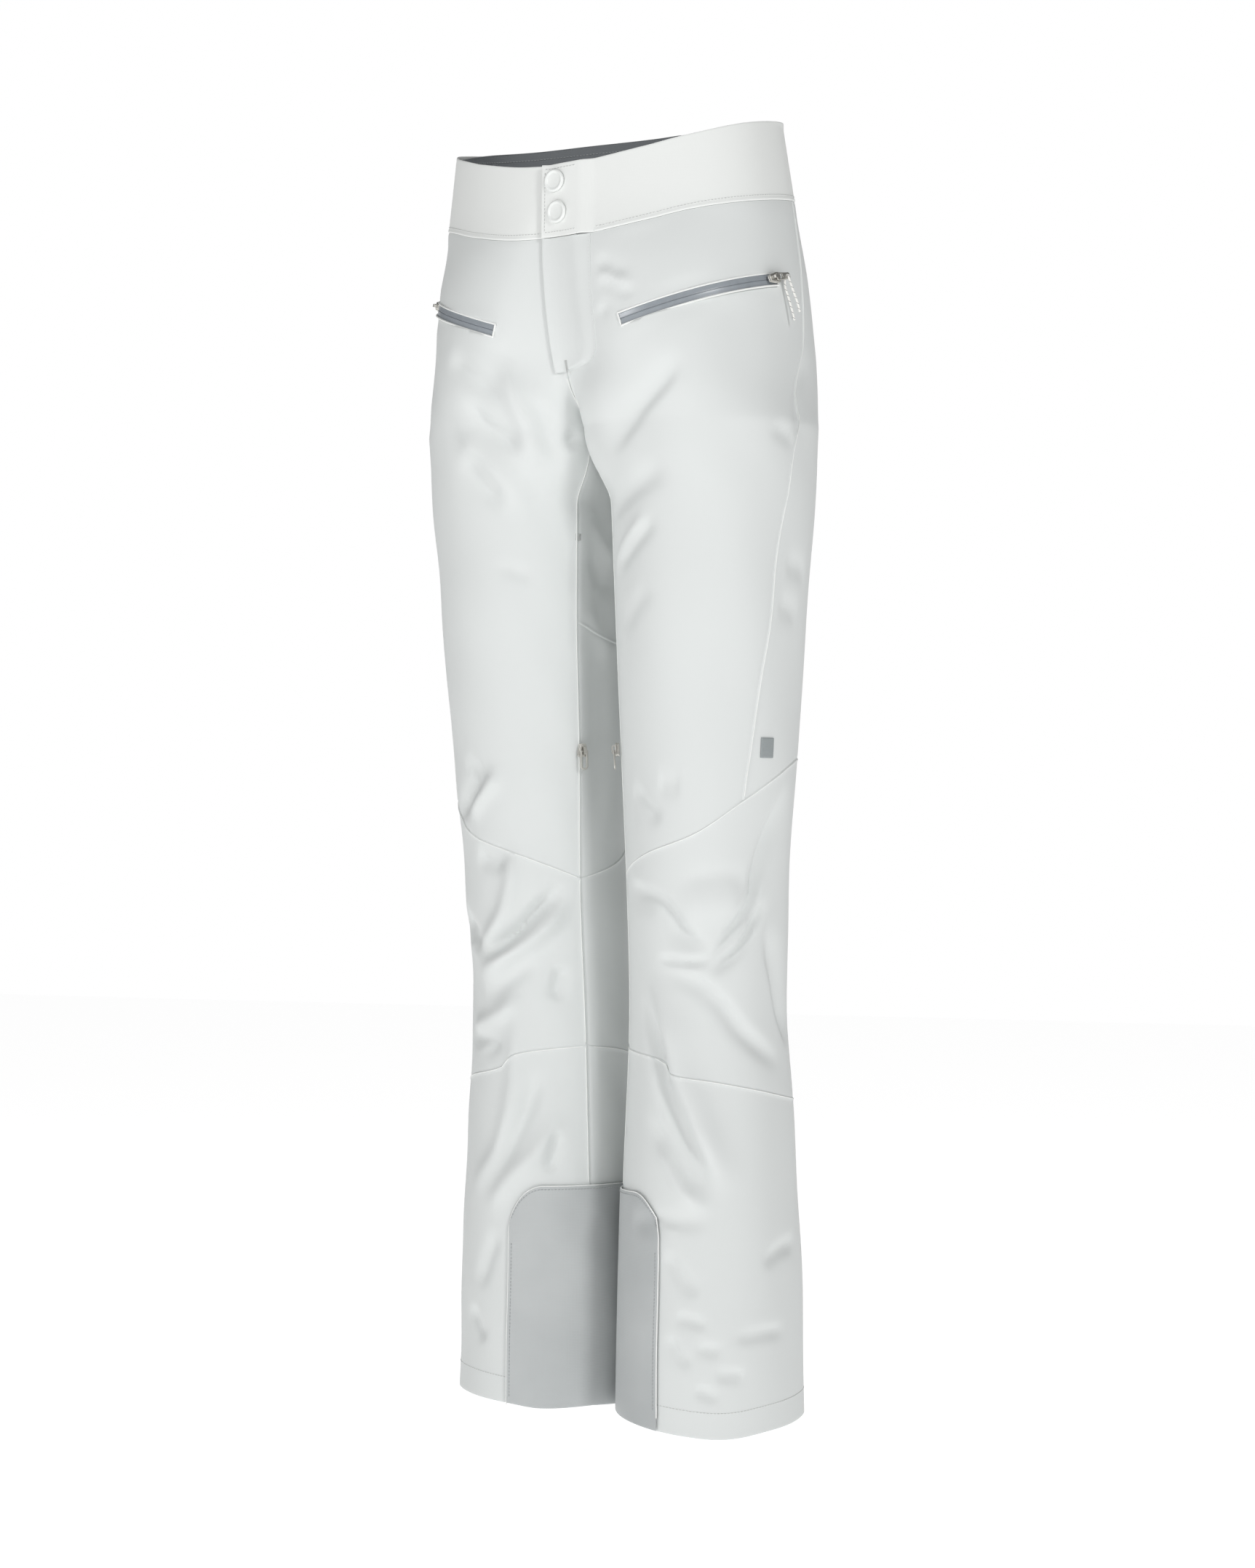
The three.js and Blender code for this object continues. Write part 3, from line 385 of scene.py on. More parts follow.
def curve(rows, x, column=1):
    """Smooth curve through the rows at x, flat past its ends."""
    at = np.array([r[0] for r in rows], float)
    value = np.array([r[column] for r in rows], float)
    last = len(rows) - 1
    low, high = np.maximum(np.arange(last + 1) - 1, 0), np.minimum(np.arange(last + 1) + 1, last)
    slope = (value[high] - value[low]) / (at[high] - at[low])
    x = np.clip(np.asarray(x, float), at[0], at[-1])
    k = np.clip(np.searchsorted(at, x, side="right") - 1, 0, last - 1)
    step = at[k + 1] - at[k]
    s = (x - at[k]) / step
    return ((2 * s**3 - 3 * s**2 + 1) * value[k] + (s**3 - 2 * s**2 + s) * step * slope[k]
            + (3 * s**2 - 2 * s**3) * value[k + 1] + (s**3 - s**2) * step * slope[k + 1])


def smooth(s):
    s = np.clip(s, 0, 1)
    return s * s * (3 - 2 * s)


def mix(a, b, s):
    return a + (b - a) * s


# %% [markdown]
# ## Levels of the surface
# The arcs are walked once for every 2.5 mm of height and stored at equal lengths of cloth. Every
# later step asks this table where a point of the cloth is and which way is out of the leg.

# %% Levels of the surface
LEVEL_STEP = 2.5
LEVELS = np.arange(-10, 1086, LEVEL_STEP)
SHARES = 361


def corners(h):
    """The five corner points of a level, with the direction of the path at each."""
    if h >= INSEAM:
        xf, yf, xs, ys, xb, yb, front, back = [float(curve(HIP_ROWS, h, c)) for c in range(1, 9)]
        turn = math.pi / 2 * (1 - float(smooth((h - INSEAM) / BLEND)))
        first = (0, front, math.cos(turn), -math.sin(turn))
        last = (0, back, -math.cos(turn), -math.sin(turn))
        return [first, (xf, yf, 1, 0), (xs, ys, 0, 1), (xb, yb, -1, 0), last]
    x, y, a, b = [float(curve(LEG_ROWS, h, c)) for c in range(1, 5)]
    near = float(smooth((h - INSEAM + BLEND) / BLEND))
    turn = SEAM_TURN * (1 - near)
    inner_x = mix(x - a * math.cos(turn), 0, near)
    inner_y = mix(y - b * math.sin(SEAM_TURN), HIP_ROWS[0][7], near)
    inner = (inner_x, inner_y, math.sin(turn), -math.cos(turn))
    return [inner, (x, y - b, 1, 0), (x + a, y, 0, 1), (x, y + b, -1, 0), inner]


def level(h):
    """A level as points at equal lengths of cloth, and its whole length."""
    turns = corners(h)
    points = []
    s = np.linspace(0, 1, 61)[:, None]
    for (ax, ay, adx, ady), (bx, by, bdx, bdy) in zip(turns, turns[1:]):
        chord = math.hypot(bx - ax, by - ay)
        bend = max(math.acos(min(max(adx * bdx + ady * bdy, -1), 1)), 0.06)
        handle = chord * (2 / 3) * math.tan(bend / 4) / math.sin(bend / 2)
        a, b = np.array([ax, ay]), np.array([bx, by])
        c, d = a + np.array([adx, ady]) * handle, b - np.array([bdx, bdy]) * handle
        points.append((1 - s) ** 3 * a + 3 * (1 - s) ** 2 * s * c + 3 * (1 - s) * s**2 * d
                      + s**3 * b)
    points = np.vstack([points[0]] + [p[1:] for p in points[1:]])
    run = np.concatenate([[0], np.cumsum(np.hypot(*np.diff(points, axis=0).T))])
    want = np.linspace(0, run[-1], SHARES)
    even = np.stack([np.interp(want, run, points[:, 0]), np.interp(want, run, points[:, 1])], 1)
    return even, run[-1]


made_levels = [level(float(h)) for h in LEVELS]
GRID = np.array([points for points, _ in made_levels])
GIRTH = np.array([length for _, length in made_levels])


def girth(h):
    """Length of cloth round one half at height h, in millimetres."""
    return np.interp(h, LEVELS, GIRTH)


def to_half(t):
    """Folds a share that runs past the centre front or back into the other half."""
    t = np.asarray(t, float)
    return np.where(t < 0, -t, np.minimum(t, 2 - t))


def spot(t, h):
    """Row and column of (t, h) in a table of levels, and whether it lies on the other half."""
    t, h = np.broadcast_arrays(np.asarray(t, float), np.asarray(h, float))
    above = h >= INSEAM
    share = np.where(above, to_half(t), np.where(t == 1, 1.0, t - np.floor(t)))
    row = np.clip((h - LEVELS[0]) / LEVEL_STEP, 0, len(LEVELS) - 1.001)
    column = np.clip(share * (SHARES - 1), 0, SHARES - 1.001)
    return row, column, above & ((t < 0) | (t > 1))


def look_up(table, row, column):
    i, j = row.astype(int), column.astype(int)
    fi, fj = row - i, column - j
    if table.ndim == 3:
        fi, fj = fi[..., None], fj[..., None]
    low = table[i, j] * (1 - fj) + table[i, j + 1] * fj
    high = table[i + 1, j] * (1 - fj) + table[i + 1, j + 1] * fj
    return low * (1 - fi) + high * fi


def on_surface(side, t, h):
    """Points of the left or right half, in millimetres, with z above the hem."""
    row, column, over = spot(t, h)
    xy = look_up(GRID, row, column)
    sign = np.where(over, -1.0, 1.0) * (1 if side == "left" else -1)
    return np.stack([xy[..., 0] * sign, xy[..., 1], np.broadcast_to(h, row.shape)], -1)


def outward(side, t, h):
    along = on_surface(side, t + 0.008, h) - on_surface(side, t - 0.008, h)
    up = on_surface(side, t, np.asarray(h) + 4) - on_surface(side, t, np.asarray(h) - 4)
    n = np.cross(along, up) * (1 if side == "left" else -1)
    return n / np.linalg.norm(n, axis=-1, keepdims=True)


def put(side, t, h, off=0.0):
    """Points at a distance out from the surface, in metres in the row frame."""
    p = on_surface(side, t, h) + outward(side, t, h) * np.asarray(off, float)[..., None]
    p[..., 2] -= INSEAM + RISE
    return p * MM


print("cloth round one hem:", round(float(girth(5))), "mm; round the hips:",
      round(2 * float(girth(900))), "mm")

# %% [markdown]
# ## Folds
# The trousers are worn, so the cloth hangs from the hips and breaks at the knees. Each fold is a
# stroke drawn on the surface: a depth, negative for a crease and positive for a ridge, a width
# on either side of the stroke, and the points that it passes through as (t, h). A sharp side has
# a small width. All strokes of a side add up to one table of heights that every layer of cloth
# follows, so no layer cuts through the one that lies on it.

# %% Folds
FOLDS = {
    "left": [
        (-4.5, 12, 4, [(0.436, 521), (0.390, 489), (0.357, 451), (0.348, 427), (0.304, 403),
                       (0.268, 383), (0.226, 369)]),
        (2.5, 5, 5, [(0.390, 451), (0.357, 418), (0.304, 389), (0.254, 372)]),
        (-4, 5, 5, [(0.385, 429), (0.333, 394), (0.259, 366)]),
        (-4.5, 5, 12, [(0.040, 440), (0.144, 429), (0.182, 416), (0.205, 403), (0.233, 394),
                       (0.268, 383)]),
        (-2.5, 3.5, 3.5, [(0.146, 380), (0.221, 377), (0.265, 379)]),
        (-3, 5, 8, [(0.138, 373), (0.221, 363), (0.275, 347), (0.331, 320), (0.438, 290)]),
        (5, 14, 6, [(0.129, 369), (0.159, 338), (0.179, 316), (0.193, 289), (0.221, 261),
                    (0.246, 229), (0.271, 204), (0.274, 184)]),
        (-4.5, 7, 8, [(0.098, 359), (0.136, 326), (0.161, 293), (0.182, 262), (0.200, 244),
                      (0.241, 215), (0.266, 187)]),
        (-2.5, 6, 6, [(0.126, 258), (0.177, 230), (0.221, 206), (0.261, 185)]),
        (2.5, 6, 6, [(0.151, 236), (0.184, 215), (0.216, 191), (0.251, 180)]),
        (1.5, 14, 14, [(0.189, 420), (0.344, 427)]),
        (-0.8, 7, 7, [(0.212, 431), (0.244, 445), (0.291, 447), (0.338, 431)]),
        (-1.8, 4, 5, [(0.193, 96), (0.228, 92), (0.241, 83)]),
        (-1.8, 4, 5, [(0.231, 72), (0.274, 68)]),
        (-1.8, 4, 5, [(0.260, 50), (0.316, 49)]),
        (-1.8, 4, 4, [(0.228, 39), (0.269, 30)]),
        (-1.8, 4, 5, [(0.182, 82), (0.204, 65), (0.223, 54)]),
        (-1.8, 5, 5, [(0.301, 70), (0.331, 80), (0.406, 82)]),
        (-2, 6, 6, [(0.170, 148), (0.203, 129), (0.236, 110)]),
        (-2, 6, 6, [(0.351, 132), (0.399, 146), (0.459, 151)]),
        (-1.8, 7, 7, [(0.186, 162), (0.223, 171), (0.270, 171)]),
        (-3, 14, 4, [(0.395, 409), (0.391, 391), (0.415, 360), (0.435, 337), (0.490, 304)]),
        (-2, 7, 7, [(0.088, 518), (0.134, 500), (0.168, 487)]),
        (-1.2, 9, 9, [(0.156, 520), (0.208, 518)]),
        (-3, 6, 16, [(0.239, 863), (0.223, 838), (0.163, 809), (0.101, 780)]),
        (-2, 8, 8, [(0.205, 776), (0.144, 758), (0.020, 732)]),
        (-1.8, 7, 7, [(0.171, 732), (0.128, 714), (0.064, 691)]),
        (-1, 8, 8, [(0.161, 678), (0.074, 642)]),
        (1.5, 5, 5, [(0.156, 736), (0.089, 709), (0.043, 692)]),
        (-1.2, 5, 5, [(0.100, 937), (0.161, 919)]),
        (1.4, 4, 4, [(0.105, 927), (0.176, 910)]),
        (-1.2, 4, 4, [(0.105, 919), (0.176, 902)]),
        (-1.4, 5, 5, [(0.103, 898), (0.145, 881)]),
        (-1.5, 7, 7, [(0.555, 868), (0.456, 825), (0.409, 795)]),
        (-1.2, 7, 7, [(0.369, 802), (0.417, 792)]),
        (-1.2, 9, 9, [(0.388, 695), (0.456, 691)]),
        (-1.2, 9, 9, [(0.374, 663), (0.436, 655)]),
    ],
    "right": [
        (3, 6, 6, [(0.177, 535), (0.165, 526), (0.203, 508), (0.231, 490)]),
        (-3.5, 8, 8, [(0.238, 543), (0.205, 526), (0.251, 506), (0.294, 490)]),
        (3.5, 7, 7, [(0.130, 474), (0.143, 437), (0.161, 415), (0.198, 396), (0.241, 381)]),
        (-6, 6, 6, [(0.030, 440), (0.081, 422), (0.140, 399), (0.219, 378)]),
        (4.5, 8, 8, [(0.025, 428), (0.072, 406), (0.141, 385), (0.247, 361)]),
        (-2.5, 8, 8, [(0.098, 381), (0.145, 365), (0.225, 343)]),
        (2.5, 7, 7, [(0.129, 351), (0.194, 330), (0.284, 318)]),
        (-2, 6, 6, [(0.296, 312), (0.225, 311), (0.234, 297)]),
        (2.5, 8, 8, [(0.140, 355), (0.147, 301), (0.151, 267), (0.177, 221), (0.224, 195),
                     (0.242, 169)]),
        (3, 8, 8, [(0.060, 254), (0.101, 220), (0.152, 197), (0.199, 166)]),
        (-3.5, 7, 7, [(0.091, 290), (0.129, 247), (0.182, 201)]),
        (-3, 6, 6, [(0.045, 374), (0.068, 342)]),
        (-3, 5, 5, [(0.060, 238), (0.080, 200)]),
        (-2, 6, 6, [(0.170, 158), (0.195, 130), (0.214, 104)]),
        (-2.5, 7, 7, [(0.240, 92), (0.198, 62)]),
        (-3, 8, 8, [(0.221, 463), (0.166, 456), (0.150, 451)]),
        (-4, 9, 9, [(0.323, 414), (0.254, 394), (0.264, 382)]),
        (-2.5, 10, 10, [(0.228, 871), (0.169, 850), (0.116, 829)]),
        (3, 9, 9, [(0.206, 822), (0.190, 796), (0.122, 765), (0.070, 739)]),
        (-2.5, 7, 7, [(0.184, 834), (0.156, 808), (0.105, 790)]),
        (3, 9, 9, [(0.098, 867), (0.098, 835), (0.100, 800), (0.071, 774)]),
        (-2, 8, 8, [(0.062, 834), (0.071, 800), (0.036, 775)]),
        (-2.5, 9, 9, [(0.204, 793), (0.155, 766), (0.106, 746)]),
        (-2.5, 9, 9, [(0.045, 806), (0.028, 791)]),
        (-1, 6, 6, [(0.136, 699), (0.071, 687)]),
        (-3.6, 14, 16, [(0.956, 840), (0.954, 770), (0.952, 700), (0.955, 600), (0.958, 500),
                        (0.96, 430)]),
        (1.4, 7, 7, [(0.97, 742), (0.94, 716), (0.90, 700)]),
        (-1.6, 8, 8, [(0.975, 716), (0.94, 690), (0.90, 676)]),
        (1.6, 8, 8, [(0.975, 672), (0.945, 640), (0.91, 622)]),
    ],
}
BACK_FOLDS = [  # alike on both sides: under the seat, behind the knee and over the heel
    (-3.5, 8, 12, [(0.66, 842), (0.76, 826), (0.87, 812), (0.95, 806)]),
    (2, 9, 9, [(0.70, 812), (0.80, 794), (0.90, 784)]),
    (-2.5, 7, 9, [(0.68, 792), (0.79, 772), (0.90, 766)]),
    (-2, 8, 8, [(0.72, 742), (0.82, 720), (0.92, 716)]),
    (-3, 7, 7, [(0.58, 452), (0.65, 430), (0.72, 421), (0.80, 428)]),
    (2.5, 8, 8, [(0.60, 426), (0.67, 404), (0.74, 397), (0.80, 404)]),
    (-3.2, 6, 8, [(0.57, 405), (0.65, 379), (0.74, 372), (0.81, 386)]),
    (2, 8, 8, [(0.60, 375), (0.67, 352), (0.74, 348), (0.81, 356)]),
    (-2.4, 6, 7, [(0.60, 349), (0.67, 328), (0.74, 325), (0.81, 336)]),
    (2.6, 26, 26, [(0.88, 480), (0.872, 420), (0.868, 360), (0.872, 300), (0.88, 250)]),
    (-2.5, 8, 8, [(0.66, 250), (0.70, 200), (0.68, 150)]),
    (2, 9, 9, [(0.76, 256), (0.79, 190), (0.77, 130)]),
    (-2, 6, 6, [(0.60, 92), (0.68, 82), (0.76, 86)]),
    (-1.8, 5, 5, [(0.72, 56), (0.80, 50), (0.87, 54)]),
]
WAIST_SEAM = [(0, 955), (0.09, 956), (0.2, 964), (0.28, 972), (0.37, 979), (0.5, 987),
              (0.65, 994), (0.8, 1000), (1, 1003)]
POCKET_START = {"left": 0.149, "right": 0.12}
POCKET_LENGTH = 138
POCKET_HEIGHTS = (885, 904, 921)
POCKET_MIDDLE = 0.45
WAVE_COUNT = 7
THIGH_MIDDLE = 640
HIP_GAIN = 1.8  # the depths above were drawn too shallow, and these deepen them all
LEG_GAIN = 1.65
BROAD_WAVE = 0.22  # unevenness of the whole cloth
CALM_SEAM = {"left": 55, "right": 14}  # the inseams stay flatter than the cloth beside them


def pocket_t(side, share):
    return POCKET_START[side] + share * POCKET_LENGTH / girth(POCKET_HEIGHTS[1])


def stroke(field, u, h, depth, left, right, points):
    """Adds one fold to the field, which fades towards both ends of its stroke."""
    depth *= HIP_GAIN if points[0][1] > THIGH_MIDDLE else LEG_GAIN
    p = smooth_route([(t, z, 0) for t, z in points], 24)[:, :2]
    line = np.stack([p[:, 0] * girth(p[:, 1]), p[:, 1]], 1)
    run = np.concatenate([[0], np.cumsum(np.hypot(*np.diff(line, axis=0).T))])
    want = np.linspace(0, run[-1], max(int(run[-1] / 1.5), 4))
    line = np.stack([np.interp(want, run, line[:, 0]), np.interp(want, run, line[:, 1])], 1)
    way = np.gradient(line, axis=0)
    way /= np.linalg.norm(way, axis=1, keepdims=True)
    reach = 3 * max(left, right)
    near = np.nonzero((u > line[:, 0].min() - reach) & (u < line[:, 0].max() + reach)
                      & (h > line[:, 1].min() - reach) & (h < line[:, 1].max() + reach))
    if not len(near[0]):
        return
    du = u[near][:, None] - line[:, 0]
    dh = h[near][:, None] - line[:, 1]
    k = np.argmin(du**2 + dh**2, axis=1)
    rows = np.arange(len(k))
    du, dh = du[rows, k], dh[rows, k]
    across = way[k, 0] * dh - way[k, 1] * du
    past = np.maximum(np.abs(way[k, 0] * du + way[k, 1] * dh) - 0.8, 0)
    width = np.where(across > 0, left, right)
    fade = smooth(np.minimum(want[k], want[-1] - want[k]) / (0.3 * want[-1]))
    field[near] += depth * fade * np.exp(-(across**2 + past**2) / width**2)


def relief_table(side):
    share, h = np.meshgrid(np.linspace(0, 1, SHARES), LEVELS)
    length = girth(h)
    u = share * length
    field = np.zeros_like(u)
    wrapped = np.where(h < INSEAM - 12, u - length, 1e6)
    for fold in FOLDS[side] + BACK_FOLDS:
        stroke(field, u, h, *fold)
        stroke(field, wrapped, h, *fold)
    dice = np.random.default_rng(5 if side == "left" else 9)
    waves = np.zeros_like(u)
    for _ in range(WAVE_COUNT):
        size, turn, phase = dice.uniform(45, 130), dice.uniform(0, math.pi), dice.uniform(0, 6.3)
        waves += np.sin((u * math.cos(turn) + h * math.sin(turn)) * 2 * math.pi / size + phase)
    field += BROAD_WAVE * waves * smooth(np.minimum(u, length - u) / 30)
    edge = np.where(share < 0.5, u, length - u)
    calm = np.where(share < 0.5, CALM_SEAM[side], 6)
    field *= np.where(h < INSEAM, mix(0.3, 1, smooth(edge / calm)), 1)
    calm_middle = smooth((h - 765) / 30)
    field *= 1 - calm_middle * (1 - smooth((np.minimum(u, length - u) - 3) / 16))
    field *= smooth((curve(WAIST_SEAM, share) - h) / 14)
    zip_line = [pocket_t(side, s) for s in (0, POCKET_MIDDLE, 1)]
    zip_height = np.interp(share, zip_line, POCKET_HEIGHTS)
    beyond = np.maximum(np.maximum(zip_line[0] - share, share - zip_line[2]), 0) * length
    field *= smooth((np.hypot(beyond, h - zip_height) - 8) / 12)
    return field


RELIEF = {side: relief_table(side) for side in SIDES}


def relief(side, t, h):
    row, column, over = spot(t, h)
    other = "right" if side == "left" else "left"
    return np.where(over, look_up(RELIEF[other], row, column),
                    look_up(RELIEF[side], row, column))


def on_cloth(side, t, h, off=0.0):
    return put(side, t, h, off + relief(side, t, h))


print("deepest crease and highest ridge, mm:", round(float(RELIEF["left"].min()), 1),
      round(float(RELIEF["right"].max()), 1))

# %% [markdown]
# ## Panels
# A panel is a grid laid on the surface between four seam lines. Its rows lie closer together
# near its edges, where the seam is shaped: the cloth dips into the seam, and on the side where the
# allowances are turned it rises in a narrow welt. Neighbouring panels share an edge exactly. The
# sheet is then given its thickness towards the inside, and each panel keeps a UV map in metres
# of cloth for its weave.

# %% Panel maker
FINE = (0, 0.6, 1.2, 2.0, 3.0, 4.2, 5.6)
WELT = ((0, 0.6, 1.2, 2.0, 3.0, 4.2), (-0.3, 0.35, 0.5, 0.35, 0.1, 0))
FLAT = ((0, 0.6, 2.0, 4.2), (-0.3, -0.25, -0.08, 0))
FOLD = ((0, 0.6, 1.2), (-0.35, -0.05, 0))
DEEP = ((0, 0.6, 2.0, 4.2), (-1.1, -0.8, -0.2, 0))
SEAMS = {"welt": WELT, "flat": FLAT, "deep": DEEP, "fold": FOLD}
CELL = 3.0


def steps_across(width):
    """Shares from 0 to 1 over a width: fine near both ends, even between."""
    fine = [f for f in FINE if f < width / 2]
    inner = np.linspace(fine[-1], width - fine[-1], max(int((width - 2 * fine[-1]) / CELL), 1) + 1)
    return np.concatenate([fine[:-1], inner, [width - f for f in fine[-2::-1]]]) / width


def finished(name, bm, finish):
    mesh = mesh_of(name, bm)
    made = new_object(name, mesh, finish)
    mesh.shade_smooth()
    mesh.set_sharp_from_angle(angle=math.radians(CLOTH_EDGE))
    return made


def seam_height(distance, kind):
    return np.interp(distance, *SEAMS[kind])


def panel(name, side, column, row, seams, finish, thick=1.1, off=0.0, follow=1.0, extra=None,
          ring=False, node=None, slot="shell_cloth"):
    """seams: kinds of the edges at column 0, column 1, row 0 and row 1."""
    middle_t = column(0.5, 500.0)
    middle_h = float(row(0.5, middle_t))
    width = float((column(1.0, middle_h) - column(0.0, middle_h)) * girth(middle_h))
    height = float(row(1.0, middle_t) - row(0.0, middle_t))
    s_steps, r_steps = steps_across(width), steps_across(height)
    bm = bmesh.new()
    bmesh.ops.create_grid(bm, x_segments=len(s_steps) - 1, y_segments=len(r_steps) - 1, size=1)
    spots = np.array([(v.co.x, v.co.y) for v in bm.verts])
    s = s_steps[np.rint((spots[:, 0] + 1) / 2 * (len(s_steps) - 1)).astype(int)]
    r = r_steps[np.rint((spots[:, 1] + 1) / 2 * (len(r_steps) - 1)).astype(int)]
    h = row(r, column(s, 404.0))
    for _ in range(7):
        t = column(s, h)
        h = row(r, t)
    lift = np.full(len(t), float(off)) + follow * relief(side, t, h)
    edges = ((t - column(0.0, h)) * girth(h), (column(1.0, h) - t) * girth(h),
             h - row(0.0, t), row(1.0, t) - h)
    for distance, kind in zip(edges, seams):
        if kind:
            lift = lift + seam_height(np.abs(distance), kind)
    if extra:
        lift = lift + extra(t, h)
    places = put(side, t, h, lift)
    bm.verts.ensure_lookup_table()
    for v, place in zip(bm.verts, places):
        v.co = place
    uv = bm.loops.layers.uv.new("cloth")
    u_flat, h_flat = (t - middle_t) * girth(h) * MM, h * MM
    for face in bm.faces:
        for loop in face.loops:
            loop[uv].uv = (u_flat[loop.vert.index], h_flat[loop.vert.index])
    if ring:
        bmesh.ops.remove_doubles(bm, verts=bm.verts[:], dist=0.02 * MM)
    if side == "right":
        bmesh.ops.reverse_faces(bm, faces=bm.faces[:])
    bm.normal_update()
    area = sum(face.calc_area() for face in bm.faces)
    bmesh.ops.solidify(bm, geom=bm.faces[:], thickness=thick * MM)
    bmesh.ops.recalc_face_normals(bm, faces=bm.faces[:])
    made = finished(f"{name}_cloth", bm, finish)
    h_range = np.linspace(float(h.min()), float(h.max()), 40)
    widths = (column(1.0, h_range) - column(0.0, h_range)) * girth(h_range)
    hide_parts(node or name)
    return made


def thigh_part(made):
    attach(made, "trousers")


def shin_part(made, side):
    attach(made, f"{side}_lower_leg")


def knee_part(made):
    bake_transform(made)


# %% [markdown]
# ## Seam lines
# The seams are curves on the surface. Level seams give a height for each t, and upright seams give
# a t for each height. All panels are cut between these few lines, so neighbours always meet.

# %% Seam lines
THIGH_SEAM = [(0, 648), (0.6, 636), (0.85, 636), (0.92, 638), (1, 652)]
KNEE_UPPER = [(0, 444), (0.125, 464), (0.23, 480), (0.32, 506), (0.436, 535), (0.55, 540),
              (0.67, 515), (0.8, 480), (0.9, 457), (1, 444)]
KNEE_LOWER = [(0, 307), (0.09, 304), (0.15, 299), (0.18, 289), (0.27, 282), (0.486, 266),
              (0.6, 267), (0.75, 285), (0.9, 302), (1, 307)]
HEM = {
    "left": [(0, 12), (0.1, 8), (0.2, 1), (0.28, -2), (0.37, 3), (0.5, 8), (0.7, 5), (0.85, 8),
             (1, 12)],
    "right": [(0, 12), (0.09, 11), (0.15, 15), (0.28, 21), (0.4, 18), (0.55, 13), (0.75, 9),
              (1, 12)],
}
SIDE_SEAM = [(0, 0.3), (508, 0.319), (549, 0.329), (601, 0.343), (649, 0.359), (704, 0.367),
             (759, 0.388), (792, 0.417), (825, 0.458), (873, 0.529), (930, 0.55), (985, 0.56)]
BACK_SIDE_SEAM = [(0, 0.6), (508, 0.6), (820, 0.66), (985, 0.68)]
FLY_FACING = [(850, 0), (856, 0.066), (871, 0.09), (907, 0.091), (955, 0.089)]
FLY_BOTTOM = 850


def waist_seam(t):
    return curve(WAIST_SEAM, to_half(t))


def hem_line(side, t):
    return curve(HEM[side], np.asarray(t, float) - np.floor(np.where(np.asarray(t) == 1, 0, t)))


side_seam, back_seam = partial(curve, SIDE_SEAM), partial(curve, BACK_SIDE_SEAM)
knee_upper, knee_lower = partial(curve, KNEE_UPPER), partial(curve, KNEE_LOWER)
thigh_seam = partial(curve, THIGH_SEAM)
print("hem of the left leg from", min(h for _, h in HEM["left"]), "to",
      max(h for _, h in HEM["left"]), "mm")

# %% [markdown]
# ## The shell panels
# Each leg has a front thigh, a side panel, a seat, a back thigh, a front and a back knee, and a
# front and a back shin. The knee is cut as its own panel between two curved seams, so that it
# takes the shape of a bent knee. The knee panels stay where they are made, the shin panels go
# with the lower leg and the others with the trousers.

# %% The shell panels
SHELL = {  # its two side seams, its lower and upper seams, and the kinds of all four
    "front_thigh": ("front", "side", "knee_upper", "waist", ("welt", "flat", "flat", "flat")),
    "side_panel": ("side", "back", "knee_upper", "waist", ("welt", "flat", "flat", "flat")),
    "seat": ("back", "end", "thigh", "waist", ("welt", "deep", "welt", "flat")),
    "back_thigh": ("back", "end", "knee_upper", "thigh", ("welt", "deep", "flat", "flat")),
    "knee_front": ("front", "back", "knee_lower", "knee_upper", ("welt", "flat", "flat", "welt")),
    "knee_back": ("back", "end", "knee_lower", "knee_upper", ("welt", "deep", "flat", "welt")),
    "shin_front": ("front", "back", "hem", "knee_lower", ("welt", "flat", "fold", "welt")),
    "shin_back": ("back", "end", "hem", "knee_lower", ("welt", "deep", "fold", "welt")),
}
UPRIGHT = {"front": lambda h: 0, "side": side_seam, "back": back_seam, "end": lambda h: 1}


def shell(side):
    level_lines = {"hem": partial(hem_line, side), "knee_lower": knee_lower, "thigh": thigh_seam,
                   "knee_upper": knee_upper, "waist": waist_seam}
    made = {}
    for part, (first, last, lower, upper, kinds) in SHELL.items():
        a, b, low, high = UPRIGHT[first], UPRIGHT[last], level_lines[lower], level_lines[upper]
        made[part] = panel(f"{side}_{part}", side, lambda s, h: mix(a(h), b(h), s),
                           lambda r, t: mix(low(t), high(t), r), kinds, shell_cloth)
    return made


def cut_out(piece, cutter):
    """Cuts a tool's shape out of a piece and drops the tool."""
    cutting = piece.modifiers.new("cut", "BOOLEAN")
    cutting.operation = "DIFFERENCE"
    cutting.object = cutter
    seen = bpy.context.evaluated_depsgraph_get()
    mesh = bpy.data.meshes.new_from_object(piece.evaluated_get(seen))
    piece.modifiers.clear()
    piece.data = mesh
    tool = cutter.data
    bpy.data.objects.remove(cutter)
    bpy.data.meshes.remove(tool)


class Arc:
    """The curved line of a pocket's zip: a circle through three points on the surface."""

    def __init__(self, side):
        low, middle, high = [put(side, pocket_t(side, s), z) for s, z in
                             zip((0, POCKET_MIDDLE, 1), POCKET_HEIGHTS)]
        a, b = low - high, middle - high
        across = np.cross(a, b)
        centre = np.cross(a @ a * b - b @ b * a, across) / (2 * across @ across) + high
        first, last = low - centre, high - centre
        self.centre, self.radius = centre, float(np.linalg.norm(first))
        self.first = first / self.radius
        axis = np.cross(first, last)
        self.axis = axis / np.linalg.norm(axis)
        self.sweep = math.acos(float(first @ last) / self.radius**2)

    def frame(self, angle):
        out = self.first * math.cos(angle) + np.cross(self.axis, self.first) * math.sin(angle)
        return out, np.cross(self.axis, out)

    def at(self, angle, across, out_mm):
        out, _ = self.frame(angle)
        return self.centre + out * (self.radius + out_mm * MM) + self.axis * across * MM


